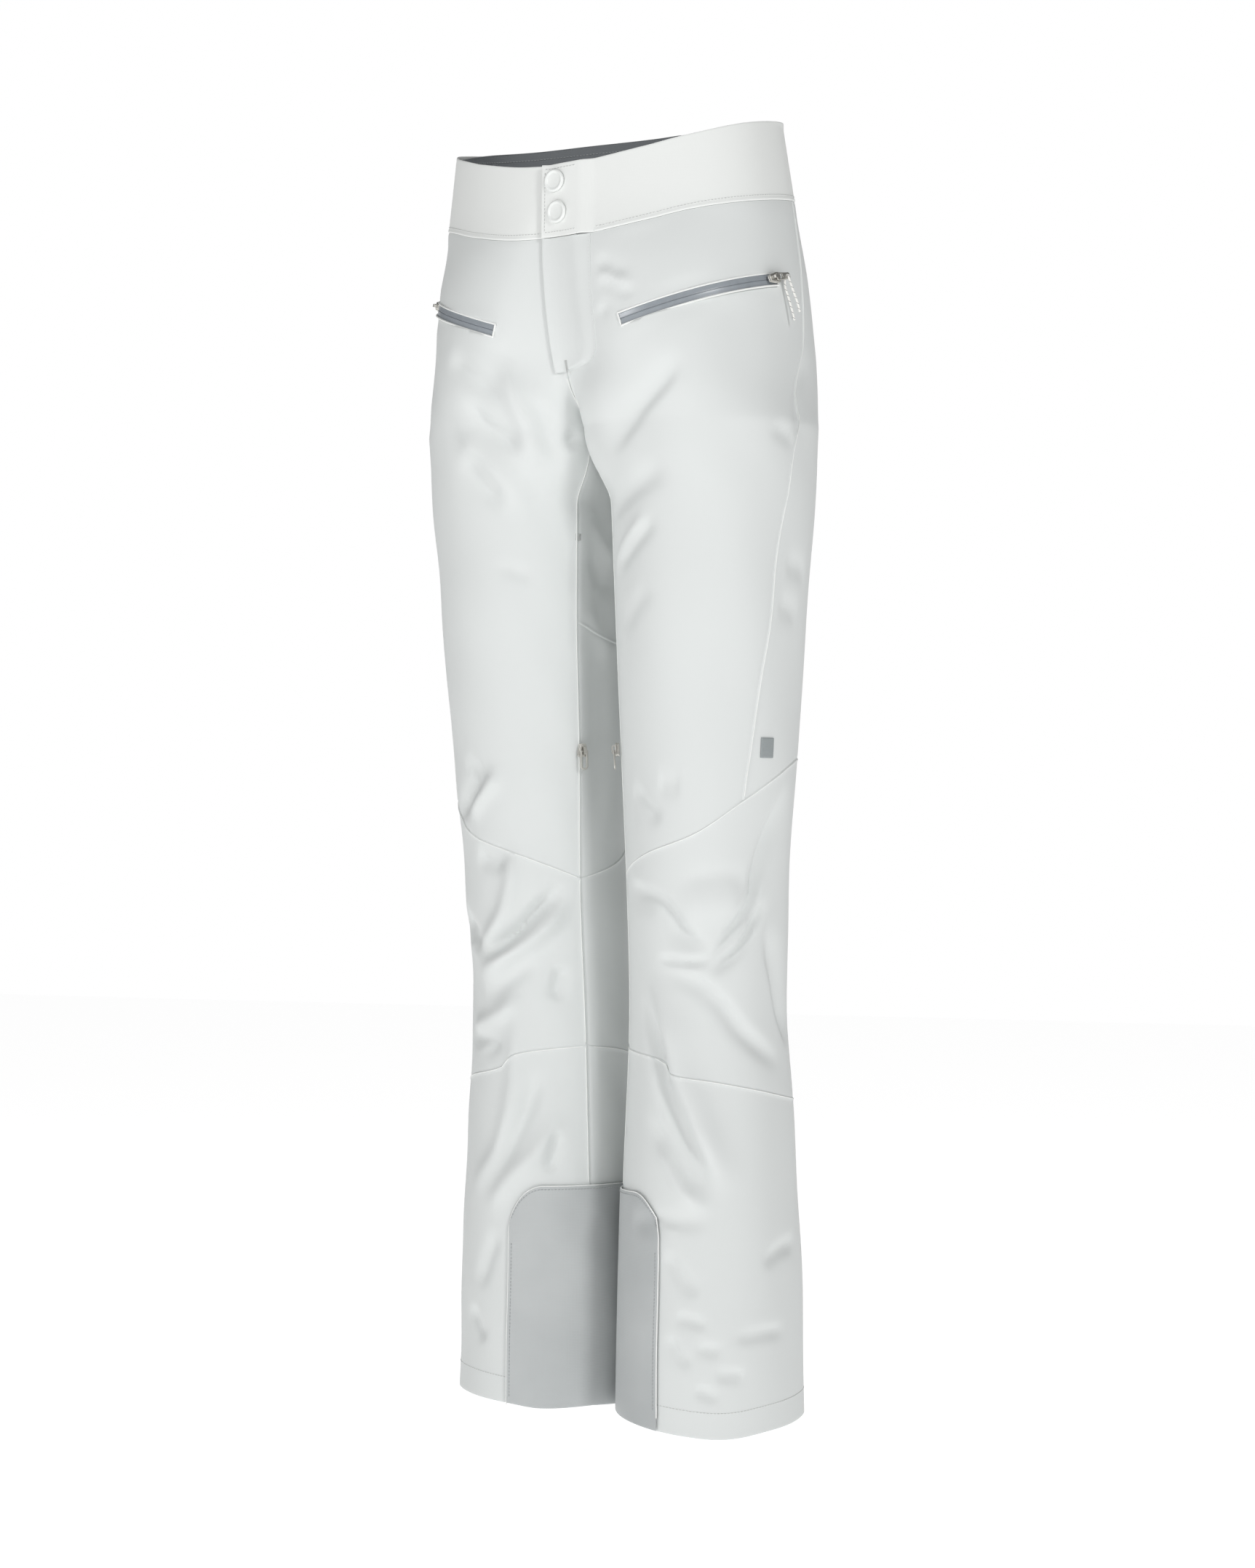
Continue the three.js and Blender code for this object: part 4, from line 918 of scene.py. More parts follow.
def swept(name, stations, finish):
    """A closed solid through cross-sections, each a ring of points."""
    bm = bmesh.new()
    rings = [[bm.verts.new(Vector(p)) for p in ring] for ring in stations]
    count = len(rings[0])
    for a, b in zip(rings, rings[1:]):
        for j in range(count):
            bm.faces.new((a[j], a[(j + 1) % count], b[(j + 1) % count], b[j]))
    bm.faces.new(rings[0])
    bm.faces.new(rings[-1])
    bmesh.ops.recalc_face_normals(bm, faces=bm.faces[:])
    return finished(name, bm, finish)


POCKET_WINDOW = 10
ARCS = {side: Arc(side) for side in SIDES}
PANELS = {}
for side in SIDES:
    PANELS[side] = shell(side)
    arc = ARCS[side]
    half = POCKET_WINDOW / 2
    box = ((-half, -9), (half, -9), (half, 9), (-half, 9))
    slot = swept("slot", [[arc.at(a, y, z) for y, z in box]
                          for a in np.linspace(0, arc.sweep, 25)], shell_cloth)
    cut_out(PANELS[side]["front_thigh"], slot)
    for part, piece in PANELS[side].items():
        if part.startswith("knee"):
            knee_part(piece)
        elif part.startswith("shin"):
            shin_part(piece, side)
        else:
            thigh_part(piece)

# %% [markdown]
# ## Waistband, tab and fly
# The waistband is a firm folded strip. Its left end runs on as a tab over the centre front and is
# held by two snaps. The tab and the band look like one strip: the tab stands 4.4 mm out over the
# band's right end and comes down to the band's level at its root, where it hinges. The
# fly flap is the edge of the left front, folded over the zip, and comes down in the same way
# towards the curved stitching.

# %% Waistband, tab and fly
BAND_HEIGHT = 57
RIM_ABOVE_SEAM = [(0, 1), (0.1, 3), (0.3, 3), (0.42, 6), (0.6, 7), (1, 7)]
LINING_TOP = [(0, -2), (0.4, -2), (0.6, 1), (1, 2)]
SIDE_T = 0.56
TAB_T = 0.0971
OVERLAP_T = 8 / 411.9  # the tab runs 8 mm past the centre front
TAB_LIFT = 4.4
FLAP_LIFT = 3.0
FLAP_EDGE = 0.4
FLY_ZIP_T = 0.036
FLY_ZIP_LOW, FLY_ZIP_HIGH = 865, 947
FLY_ZIP_DEPTH = -5.5
FLY_ZIP_WIDTH = 22


def rim(t):
    u = to_half(t)
    return curve(WAIST_SEAM, u) + BAND_HEIGHT + curve(RIM_ABOVE_SEAM, u)


def band_row(r, t):
    return mix(waist_seam(t) + 0.2, rim(t), r)


def span(low, high):
    """Columns between two shares."""
    return lambda s, h: mix(low, high, s) + 0 * np.asarray(h, float)


def strip(t_middle, width):
    """Columns of a strip of even width, in millimetres."""
    return lambda s, h: t_middle + (s - 0.5) * width / girth(h)


def band(name, side, low, high, seams, **more):
    return panel(name, side, span(low, high), band_row, seams, band_cloth, thick=1.7,
                 slot="waistband_cloth", **more)


def tab_height(t, h):
    return TAB_LIFT * smooth((TAB_T - t) * girth(h) / 12)


def flap_height(t, h):
    return mix(FLAP_EDGE, FLAP_LIFT, smooth((curve(FLY_FACING, h) - t) * girth(h) / 16))


band_parts = [
    band("waistband_left", "left", TAB_T, SIDE_T, (None, "flat", "welt", "fold")),
    band("waistband_right", "right", -TAB_T + 0.035, SIDE_T, ("fold", "flat", "welt", "fold")),
    band("waistband_back", "left", SIDE_T, 2 - SIDE_T, ("flat", "flat", "welt", "fold")),
]
for piece in band_parts:
    thigh_part(piece)

tab = band("waistband_tab", "left", -OVERLAP_T, TAB_T, ("fold", None, "fold", "fold"),
           extra=tab_height)
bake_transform(tab)

lining = panel("waistband_lining", "left", span(0.11, 1.97),
               lambda r, t: mix(waist_seam(t) + 0.8, rim(t) + curve(LINING_TOP, to_half(t)), r),
               ("fold",) * 4, lining_cloth, off=-3.8, slot="lining_cloth")
flap = panel("fly_flap", "left", lambda s, h: mix(-OVERLAP_T, curve(FLY_FACING, h), s),
             lambda r, t: mix(FLY_BOTTOM + 0.5, waist_seam(t), r),
             ("fold", None, "fold", "flat"), shell_cloth, extra=flap_height)
underlap = panel("fly_underlap", "left", span(-0.02, 0.08),
                 lambda r, t: mix(FLY_BOTTOM + 8, 953, r) + 0 * t,
                 ("fold",) * 4, shell_cloth, off=-11, follow=0)
fly_tape = panel("fly_zip", "left", strip(FLY_ZIP_T, FLY_ZIP_WIDTH),
                 lambda r, t: mix(FLY_ZIP_LOW, FLY_ZIP_HIGH, r) + 0 * t,
                 ("fold",) * 4, zip_tape, off=FLY_ZIP_DEPTH, thick=0.8, follow=0, slot="zip_tape")
for piece in (lining, flap, underlap, fly_tape):
    thigh_part(piece)

# %% [markdown]
# ## Hems, scuff guards and gaiters
# The hem is turned up 24 mm inside. A coated patch guards the inner ankle from ski edges and is
# stitched on, with a thin bright edge. Inside each leg a gaiter of light cloth hangs and
# is gathered into a ribbed elastic grip that closes round the boot.

# %% Hems, scuff guards and gaiters
HEM_DEPTH = 24
GUARD_HEIGHT = 192
GUARD_BACK = -0.16
GUARD_EDGE = {"left": 0.164, "right": 0.148}
GUARD_CORNER = 40
GUARD_LIFT = 2.8
GAITER_TOP = 225
GAITER_BOTTOM = 34
GRIP_HEIGHT = 10.4
PLEATS = 34


def guard_top(side, t):
    near = np.clip((t - (GUARD_EDGE[side] - 0.06)) / 0.06, 0, 1)
    return GUARD_HEIGHT - GUARD_CORNER * (1 - np.sqrt(1 - 0.98 * near**2))


def gaiter_inset(t, h):
    up = np.clip((h - GAITER_BOTTOM) / (GAITER_TOP - GAITER_BOTTOM), 0, 1)
    gathers = np.sin(np.asarray(t) * 2 * math.pi * PLEATS) * 1.1 * (1 - smooth(up * 1.6))
    return -mix(17, 5, up) + gathers


def grip_ribs(t, h):
    return 0.35 * np.cos((h - 24) * 2 * math.pi / 2.5)


ring = span(0, 1)
for side in SIDES:
    facing = panel(f"{side}_hem_facing", side, ring,
                   lambda r, t: hem_line(side, t) + HEM_DEPTH * r,
                   (None, None, "fold", "fold"), shell_cloth, off=-1.8, ring=True)
    guard = panel(f"{side}_scuff_guard", side, span(GUARD_BACK, GUARD_EDGE[side]),
                  lambda r, t: mix(hem_line(side, t) + 0.5, guard_top(side, t), r),
                  ("fold",) * 4, guard_cloth, off=GUARD_LIFT, thick=1.2,
                  slot="scuff_guard_cloth")
    gaiter = panel(f"{side}_gaiter", side, ring,
                   lambda r, t: mix(GAITER_BOTTOM, GAITER_TOP, r) + 0 * t,
                   (None,) * 4, mesh_cloth, thick=0.9, extra=gaiter_inset, ring=True,
                   slot="mesh_cloth")
    grip = panel(f"{side}_gaiter_gripper", side, ring,
                 lambda r, t: mix(GAITER_BOTTOM - GRIP_HEIGHT, GAITER_BOTTOM, r) + 0 * t,
                 (None,) * 4, grip_rubber, thick=2.8, off=-15.2, follow=0, extra=grip_ribs,
                 ring=True, slot="gripper_rubber")
    for piece, held in ((facing, "hung"), (guard, "hung"), (gaiter, "gathered"),
                        (grip, "stretched")):
        shin_part(piece, side)

# %% [markdown]
# ## Pocket bags, vent tapes, patch and loops
# The bags hang inside the hips. A second zip runs behind each inseam as a thigh vent, and only its
# slider shows, between the legs. A plain grey transfer sits at the knee, and a loop at each side
# of the waist hangs the trousers up.

# %% Pocket bags, vent tapes, patch and loops
BAG_DEPTH = 140
VENT_TOP = 722
VENT_LENGTH = 181
VENT_WIDTH = 16
PATCH_T, PATCH_H, PATCH_WIDTH, PATCH_HEIGHT = 0.364, 548, 13, 16
LOOP_T = 0.54
LOOP_WIDTH = 6


for side in SIDES:
    start = POCKET_START[side]
    wide = POCKET_LENGTH / girth(POCKET_HEIGHTS[1])
    bag = panel(f"{side}_pocket_bag", side, span(start, start + wide),
                lambda r, t: mix(POCKET_HEIGHTS[0] - BAG_DEPTH,
                                 mix(POCKET_HEIGHTS[0], POCKET_HEIGHTS[2], (t - start) / wide)
                                 - POCKET_WINDOW, r),
                ("fold",) * 4, mesh_cloth, off=-7.2, thick=1.6, follow=0, slot="mesh_cloth")
    vent = panel(f"{side}_vent_zip", side, strip(0, VENT_WIDTH),
                 lambda r, t: mix(VENT_TOP - VENT_LENGTH, VENT_TOP, r) + 0 * t,
                 ("fold",) * 4, zip_tape, off=-3.8, thick=0.8, slot="zip_tape")
    loop = panel(f"{side}_hanger_loop", side, lambda s, h: LOOP_T + s * LOOP_WIDTH / girth(h),
                 lambda r, t: rim(LOOP_T) - 48 + 42 * r + 0 * t,
                 ("fold",) * 4, lining_cloth, off=-7.4, thick=1.6, follow=0,
                 slot="lining_cloth")
    for piece in (bag, vent, loop):
        thigh_part(piece)
patch = panel("side_patch", "left", strip(PATCH_T, PATCH_WIDTH),
              lambda r, t: PATCH_H + (r - 0.5) * PATCH_HEIGHT + 0 * t,
              ("fold",) * 4, patch_film, off=1.1, thick=0.6, slot="patch_print")
thigh_part(patch)

# %% [markdown]
# ## Zips, sliders and pulls
# The hip pockets have laminated zips: a smooth film with a fine split down its middle, set in a
# slot with turned edges. Sliders and pulls are die castings, so each is built from an outline
# that is extruded, cut and then given small round edges.

# %% Casting tools
def outline_solid(points, low, high):
    """A plate from an outline, between two levels."""
    bm = bmesh.new()
    face = bm.faces.new([bm.verts.new((x * MM, y * MM, low * MM)) for x, y in points])
    grown = bmesh.ops.extrude_face_region(bm, geom=[face])["geom"]
    moved = [g for g in grown if isinstance(g, bmesh.types.BMVert)]
    bmesh.ops.translate(bm, verts=moved, vec=(0, 0, (high - low) * MM))
    bmesh.ops.recalc_face_normals(bm, faces=bm.faces[:])
    return bm


def rounded(points, radius, steps=5):
    """The outline with each corner replaced by a small curve."""
    made = []
    p = [Vector(q) for q in points]
    for k, here in enumerate(p):
        before, after = p[k - 1] - here, p[(k + 1) % len(p)] - here
        cut = min(radius, before.length * 0.48, after.length * 0.48)
        a, b = here + before.normalized() * cut, here + after.normalized() * cut
        made += [tuple(a * (1 - s) ** 2 + here * 2 * s * (1 - s) + b * s**2)
                 for s in np.linspace(0, 1, steps + 1)]
    return made


def casting(name, bm, finish, cutters=(), bevel=0.25, place=None):
    """Cuts the tools out of a shape, rounds its edges and sets it in its place."""
    made = new_object(name, mesh_of(name, bm), finish)
    for k, tool in enumerate(cutters):
        cut_out(made, new_object(f"{name}_tool_{k}", mesh_of(f"{name}_tool_{k}", tool), finish))
    soften = made.modifiers.new("soften", "BEVEL")
    soften.width = bevel * MM
    soften.segments = 3
    soften.angle_limit = math.radians(35)
    seen = bpy.context.evaluated_depsgraph_get()
    made.data = bpy.data.meshes.new_from_object(made.evaluated_get(seen))
    made.modifiers.clear()
    if place is not None:
        made.data.transform(place)
    made.data.shade_smooth()
    made.data.set_sharp_from_angle(angle=math.radians(CAST_EDGE))
    return made


def frame_matrix(point, along, out):
    across = np.cross(out, along)
    m = Matrix.Identity(4)
    for k, axis in enumerate((along, across, out, point)):
        for j in range(3):
            m[j][k] = float(axis[j])
    return m


SLIDER = [(-5.5, -2.6), (2.2, -4.2), (5.5, -4.2), (5.5, 4.2), (2.2, 4.2), (-5.5, 2.6)]
BRIDGE = [(-3.6, -0.4), (-2.4, -0.4), (-2.4, 2.0), (2.4, 2.0), (2.4, -0.4), (3.6, -0.4),
          (3.6, 2.2), (2.4, 3.2), (-2.4, 3.2), (-3.6, 2.2)]
SLIDER_HEIGHT = 3.2
SLIDER_HALF = 5.5
SLIDER_CORNER = 1.4
BAR_X = 1.0
BAR_Z = 4.2
POCKET_PULL = 15
VENT_PULL = 16
PULL_HALF = 3.2
WINDOW_HALF = 1.8
PULL_THICK = 1.2
HOLE_X = 12.8
HOLE_RADIUS = 1.4


def circle_points(x, radius, low, high, count=24):
    return [(x + radius * math.cos(a), radius * math.sin(a))
            for a in np.linspace(low, high, count)]


def slider_piece(name, place):
    """Two plates on a narrower core, with a bridge on top that holds the pull."""
    plates = outline_solid(rounded(SLIDER, SLIDER_CORNER), 0, SLIDER_HEIGHT)
    gap = outline_solid([(-6, -9), (6, -9), (6, 9), (-6, 9)], 1.25, 1.95)
    piece = casting(name, plates, nickel, cutters=(gap,), bevel=0.35)
    bridge = outline_solid(BRIDGE, -1.2, 1.2)
    turn = Matrix.Rotation(math.pi / 2, 4, "X")
    turn.translation = Vector((0, 0, SLIDER_HEIGHT * MM))
    bmesh.ops.transform(bridge, matrix=turn, verts=bridge.verts[:])
    core = outline_solid(rounded([(x * 0.92, y * 0.86) for x, y in SLIDER], 1.2), 1.0, 2.2)
    for part in (bridge, core):
        extra = mesh_of("part", part)
        joined = bmesh.new()
        joined.from_mesh(piece.data)
        joined.from_mesh(extra)
        joined.to_mesh(piece.data)
        joined.free()
        bpy.data.meshes.remove(extra)
    piece.data.transform(place)
    return piece


def pocket_pull_piece(name, place):
    tip, back = BAR_X + POCKET_PULL, BAR_X - 0.6
    plate = rounded([(back, -PULL_HALF), (tip, -PULL_HALF * 0.82), (tip, PULL_HALF * 0.82),
                     (back, PULL_HALF)], 1.9, 7)
    corners = [(BAR_X + x, y) for x, y in ((0.6, -WINDOW_HALF), (6, -WINDOW_HALF),
                                           (6, WINDOW_HALF), (0.6, WINDOW_HALF))]
    window = outline_solid(rounded(corners, 0.6), 0, 9)
    hole = outline_solid(circle_points(HOLE_X, HOLE_RADIUS, 0, 2 * math.pi, 33)[:-1], 0, 9)
    bm = outline_solid(plate, BAR_Z - PULL_THICK / 2, BAR_Z + PULL_THICK / 2)
    return casting(name, bm, nickel, cutters=(window, hole), bevel=0.3, place=place)


def vent_pull_piece(name, place):
    back, half = BAR_X - 0.6, PULL_HALF + 0.5
    centre = back + VENT_PULL - half
    outer = [(back, half), (back, -half)] + circle_points(centre, half, -math.pi / 2, math.pi / 2)
    inner = [(BAR_X + 0.6, WINDOW_HALF), (BAR_X + 0.6, -WINDOW_HALF)]
    inner += circle_points(centre, WINDOW_HALF, -math.pi / 2, math.pi / 2)
    bm = outline_solid(outer, BAR_Z - PULL_THICK / 2, BAR_Z + PULL_THICK / 2)
    return casting(name, bm, nickel, cutters=(outline_solid(inner, 0, 9),), bevel=0.35,
                   place=place)


# %% [markdown]
# ## The zips in their places
# A slider rides on the two edges of its zip, so its place is a distance along the zip and a
# distance out from the cloth. The pull shares that place and swings about the slider's bar.

# %% Zips
POCKET_SLIDER_LIFT = 2.2
POCKET_MARGIN = 7
VENT_SLIDER_LIFT = 2.0
FILM = [(-4.7, -1.2), (4.7, -1.2), (4.7, -0.5), (2.6, -0.35), (1.6, -0.1), (0.45, -0.1),
        (0.2, -0.75), (-0.2, -0.75), (-0.45, -0.1), (-1.6, -0.1), (-2.6, -0.35), (-4.7, -0.5)]


def square_to(low, high, out):
    """The direction from low to high, and the part of out that is square to it."""
    way = (high - low) / np.linalg.norm(high - low)
    out = out - way * (out @ way)
    return way, out / np.linalg.norm(out)


def own(piece, body, node_name):
    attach(piece, body)
    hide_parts(node_name)


for side in SIDES:
    arc = ARCS[side]
    film = swept(f"{side}_pocket_zip_film",
                 [[arc.at(a, y, z) for y, z in FILM] for a in
                  np.linspace(0.3 * MM / arc.radius, arc.sweep - 0.3 * MM / arc.radius, 49)],
                 zip_film)
    own(film, "trousers", f"{side}_pocket_zip")
    half = POCKET_WINDOW / 2 + 0.2
    ends = 0.4 * MM / arc.radius
    sweep = np.linspace(-ends, arc.sweep + ends, 60)
    short = np.linspace(-half, half, 8)[1:-1]
    lip_route = ([arc.at(a, -half, 0.15) for a in sweep]
                 + [arc.at(sweep[-1], y, 0.15) for y in short]
                 + [arc.at(a, half, 0.15) for a in sweep[::-1]]
                 + [arc.at(sweep[0], y, 0.15) for y in -short])
    # The lip is coloured brighter than the shell: a painted highlight on the turned edge of the
    # slot.
    lip = tube(f"{side}_pocket_lip", lip_route, 0.85 * MM, painted_highlight_cloth, sides=8, closed=True)
    thigh_part(lip)

    angle = arc.sweep - POCKET_MARGIN * MM / arc.radius
    out, along = arc.frame(angle)
    place = frame_matrix(arc.at(angle, 0, POCKET_SLIDER_LIFT), along, out)
    own(slider_piece(f"{side}_pocket_slider_casting", place), f"{side}_pocket_zip_slider",
        f"{side}_pocket_slider")
    own(pocket_pull_piece(f"{side}_pocket_pull_casting", place), f"{side}_pocket_zip_pull",
        f"{side}_pocket_pull")

    low, high = put(side, 0, VENT_TOP - VENT_LENGTH), put(side, 0, VENT_TOP)
    down, out = square_to(high, low, outward(side, 0, VENT_TOP - VENT_LENGTH / 2))
    point = low - down * (SLIDER_HALF + 2) * MM + out * VENT_SLIDER_LIFT * MM
    place = frame_matrix(point, down, out)
    own(slider_piece(f"{side}_vent_slider_casting", place), f"{side}_vent_zip_slider",
        f"{side}_vent_slider")
    own(vent_pull_piece(f"{side}_vent_pull_casting", place), f"{side}_vent_zip_pull",
        f"{side}_vent_pull")
    print(side, "pull at", [round(float(c), 4) for c in arc.at(angle, 0, POCKET_SLIDER_LIFT)])

fly_low, fly_high = [put("left", FLY_ZIP_T, z, FLY_ZIP_DEPTH) for z in (FLY_ZIP_LOW, FLY_ZIP_HIGH)]
fly_up, fly_out = square_to(fly_low, fly_high, outward("left", FLY_ZIP_T, 902))
fly_place = frame_matrix(fly_high - fly_up * (SLIDER_HALF + 1) * MM, fly_up, fly_out)
fly_body = outline_solid(rounded(SLIDER, SLIDER_CORNER), 0.4, 0.4 + SLIDER_HEIGHT)
own(casting("fly_slider_casting", fly_body, nickel, bevel=0.4, place=fly_place),
    "fly_zip_slider", "fly_slider")
coil = tube("fly_zip_coil", [put("left", FLY_ZIP_T, z, FLY_ZIP_DEPTH + 0.3) for z in
                             np.linspace(FLY_ZIP_LOW + 1, FLY_ZIP_HIGH - 1, 60)],
            1.0 * MM, zip_tape)
thigh_part(coil)

# %% [markdown]
# ## Snaps
# Two ring snaps hold the tab. The caps have a raised rolled rim and a shallow dish, and are turned
# shapes, so each is a profile spun round its axis. The studs below them stay on the band.

# %% Snaps
SNAPS = {"upper": (0.013, 1000), "lower": (0.02, 975)}
CAP = [(0, 1.0), (5.6, 1.0), (6.3, 1.15), (6.9, 1.5), (7.6, 1.72), (8.3, 1.6), (8.9, 1.2),
       (9.2, 0.6), (9.2, 0.15), (8.9, -0.6), (0, -0.6)]
STUD = [(0, 1.5), (2.1, 1.5), (2.5, 1.3), (2.5, 0.7), (4.7, 0.55), (5, 0.3), (5, 0), (0, 0)]


def turned(name, profile, finish, place, steps=48):
    bm = bmesh.new()
    verts = [bm.verts.new((r * MM, 0, z * MM)) for r, z in profile]
    edges = [bm.edges.new(pair) for pair in zip(verts, verts[1:])]
    bmesh.ops.spin(bm, geom=verts + edges, cent=(0, 0, 0), axis=(0, 0, 1),
                   angle=2 * math.pi, steps=steps, use_merge=True)
    bmesh.ops.remove_doubles(bm, verts=bm.verts[:], dist=0.005 * MM)
    bmesh.ops.transform(bm, matrix=place, verts=bm.verts[:])
    bmesh.ops.recalc_face_normals(bm, faces=bm.faces[:])
    made = finished(name, bm, finish)
    made.data.set_sharp_from_angle(angle=math.radians(TURNED_EDGE))
    return made


for name, (t, h) in SNAPS.items():
    out = outward("left", t, h)
    along = np.cross((0, 0, 1), out)
    along /= np.linalg.norm(along)
    cap_place = frame_matrix(put("left", t, h, TAB_LIFT + 0.9), along, out)
    own(turned(f"snap_cap_{name}_turned", CAP, snap_enamel, cap_place), "tab",
        f"snap_cap_{name}")
    stud_place = frame_matrix(put("left", t, h, 0.3), along, out)
    own(turned(f"snap_stud_{name}_turned", STUD, nickel, stud_place), "trousers",
        f"snap_stud_{name}")
print("snaps at heights", [h for _, h in SNAPS.values()], "mm above the hem")

# %% [markdown]
# ## Stitches and edges
# Topstitching is a row of short raised dashes, about 2.8 mm apart, each a little spindle of
# thread sunk at both ends. Its thread is greyer than the cloth: painted shade of the stitch holes.
# Bar tacks are dense blocks of thread that lock the ends of the fly and of the vents. The guard's
# edge is bound with a thin cord of folded cloth, painted brighter than the shell as a highlight.
# Thin tubes of the same bright colour along the seam welts are a painted highlight too.

# %% Stitches and edges
PITCH = 2.8
STITCH = 2.1
THREAD = 0.32
ABOVE_WAIST_SEAM = 4.4
ABOVE_HEM = 21
TACK_STITCH = 1.3
WELT_HIGHLIGHT_RADIUS = 0.45 * MM


def along_cloth(side, points, off, step):
    """Points at even steps along a line of (t, h), with the outward directions there."""
    dense = smooth_route([(t, h, 0) for t, h in points], 30) if len(points) > 2 else None
    if dense is None:
        dense = np.linspace((*points[0], 0), (*points[1], 0), 60)
    place = on_cloth(side, dense[:, 0], dense[:, 1], off)
    run = np.concatenate([[0], np.cumsum(np.linalg.norm(np.diff(place, axis=0), axis=1))])
    want = np.arange(0, run[-1], step * MM)
    t, h = np.interp(want, run, dense[:, 0]), np.interp(want, run, dense[:, 1])
    return on_cloth(side, t, h, off), outward(side, t, h)


def dashes(name, rows, finish=None, length=STITCH, width=THREAD):
    """rows: pairs of places and outward directions, one stitch between two steps of each."""
    bm = bmesh.new()
    bmesh.ops.create_uvsphere(bm, u_segments=6, v_segments=5, radius=1)
    shape = np.array([v.co[:] for v in bm.verts])
    faces = [[v.index for v in f.verts] for f in bm.faces]
    bm.free()
    corners_made, faces_made = [], []
    for places, outs in rows:
        for here, after, out in zip(places, places[1:], outs):
            way = after - here
            way = way / np.linalg.norm(way)
            across = np.cross(out, way)
            centre = (here + after) / 2
            base = len(corners_made) * len(shape)
            corners_made.append(centre + (shape[:, 2:3] * way * length / 2
                                          + shape[:, 0:1] * across * width
                                          + shape[:, 1:2] * out * width) * MM)
            faces_made += [[base + i for i in f] for f in faces]
    mesh = bpy.data.meshes.new(name)
    mesh.from_pydata([tuple(p) for p in np.vstack(corners_made)], [], faces_made)
    mesh.update()
    mesh.shade_smooth()
    return new_object(name, mesh, finish or thread)


def line_of(low, high, height, count=24):
    t = np.linspace(low, high, count)
    return list(zip(t, height(t)))


def row_on(side, low, high, height, off, count=24):
    return along_cloth(side, line_of(low, high, height, count), off, PITCH)


def above_seam(t):
    return waist_seam(t) + ABOVE_WAIST_SEAM


tab_low, tab_high, tab_off = -OVERLAP_T + 0.008, TAB_T - 0.035, TAB_LIFT + 0.15
fly_curve = [(float(curve(FLY_FACING, h)) - 0.004, h) for h in (951, 930, 907, 885, 872, 864, 858)]
fly_curve += [(0.04, 855), (0.012, 852.6)]
waist_stitches = dashes("waist_stitches", [
    row_on("left", TAB_T + 0.002, 0.995, above_seam, 0.15),
    row_on("right", 0.0, 0.995, above_seam, 0.15),
])
tab_stitches = dashes("tab_stitches", [
    row_on("left", tab_low, tab_high, above_seam, tab_off),
    row_on("left", tab_low, tab_high, lambda t: rim(t) - 3.5, tab_off),
    along_cloth("left", [(tab_low, 960), (tab_low, 1009)], tab_off, PITCH),
])
lining_stitches = dashes("lining_stitches", [
    row_on(side, 0.3, 0.985, lambda t: rim(t) - 5.5, -5.05) for side in SIDES
], grey_thread, width=0.45)
j_stitches = dashes("fly_stitches", [along_cloth("left", fly_curve, 0.25, PITCH)])
for made in (waist_stitches, lining_stitches, j_stitches):
    thigh_part(made)
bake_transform(tab_stitches)

for side in SIDES:
    edge = GUARD_EDGE[side]
    hem_row = row_on(side, 0.002, 0.998, lambda t: hem_line(side, t) + ABOVE_HEM, 0.1, 60)
    shin_part(dashes(f"{side}_hem_stitches", [hem_row]), side)
    rows = [row_on(side, GUARD_BACK + 0.01, edge - 0.004, lambda t: guard_top(side, t) - 2.6,
                   GUARD_LIFT + 0.1, 60),
            along_cloth(side, [(edge - 0.0055, h) for h in np.linspace(20, 148, 12)],
                        GUARD_LIFT + 0.1, PITCH)]
    shin_part(dashes(f"{side}_guard_stitches", rows, grey_thread, width=0.4), side)
    # The binding is coloured brighter than the shell: a painted highlight on the guard's folded
    # edge.
    rim_line = line_of(GUARD_BACK, edge, lambda t: guard_top(side, t), 80)
    rim_line += [(edge, h) for h in np.linspace(150, 14, 30)]
    t_line, h_line = np.array(rim_line).T
    shin_part(tube(f"{side}_guard_binding", on_cloth(side, t_line, h_line, GUARD_LIFT - 0.7),
                   0.55 * MM, painted_highlight_cloth, sides=8), side)
    thigh_part(tube(f"{side}_vent_coil", on_cloth(side, 0, np.linspace(545, 718, 90), -3.6),
                    0.9 * MM, zip_tape))
    tack_rows = [along_cloth(side, [(-0.006, VENT_TOP + d), (0.006, VENT_TOP + d)], 0.2, 1.0)
                 for d in np.arange(-2.5, 2.6, 0.7)]
    thigh_part(dashes(f"{side}_vent_tack", tack_rows, length=TACK_STITCH))

# Thin bright tubes lie along these welts: a painted highlight where the welts catch the light.
SEAM_LINES = {  # the welts that catch the light, as (t, h)
    "knee_top": line_of(0.01, 0.985, knee_upper, 60),
    "knee_bottom": line_of(0.01, 0.985, knee_lower, 60),
    "side": [(float(side_seam(h)), h) for h in np.linspace(509, 976, 40)],
    "thigh_inseam": [(0, h) for h in np.linspace(446, 846, 60)],
    "knee_inseam": [(0, h) for h in np.linspace(309, 442, 30)],
    "shin_inseam": [(0, h) for h in np.linspace(195, 305, 20)],
}
for side in SIDES:
    for name, points in SEAM_LINES.items():
        t_line, h_line = np.array(points).T
        if name == "side" or "inseam" in name:
            t_line = t_line + 1.4 / girth(h_line)
        else:
            h_line = h_line - 1.2
        welt_highlight = tube(f"{side}_{name}_edging", on_cloth(side, t_line, h_line, 0.35),
                      WELT_HIGHLIGHT_RADIUS, painted_highlight_cloth, sides=6)
        if name in ("knee_bottom", "shin_inseam"):
            shin_part(welt_highlight, side)
        elif name == "knee_inseam":
            knee_part(welt_highlight)
        else:
            thigh_part(welt_highlight)

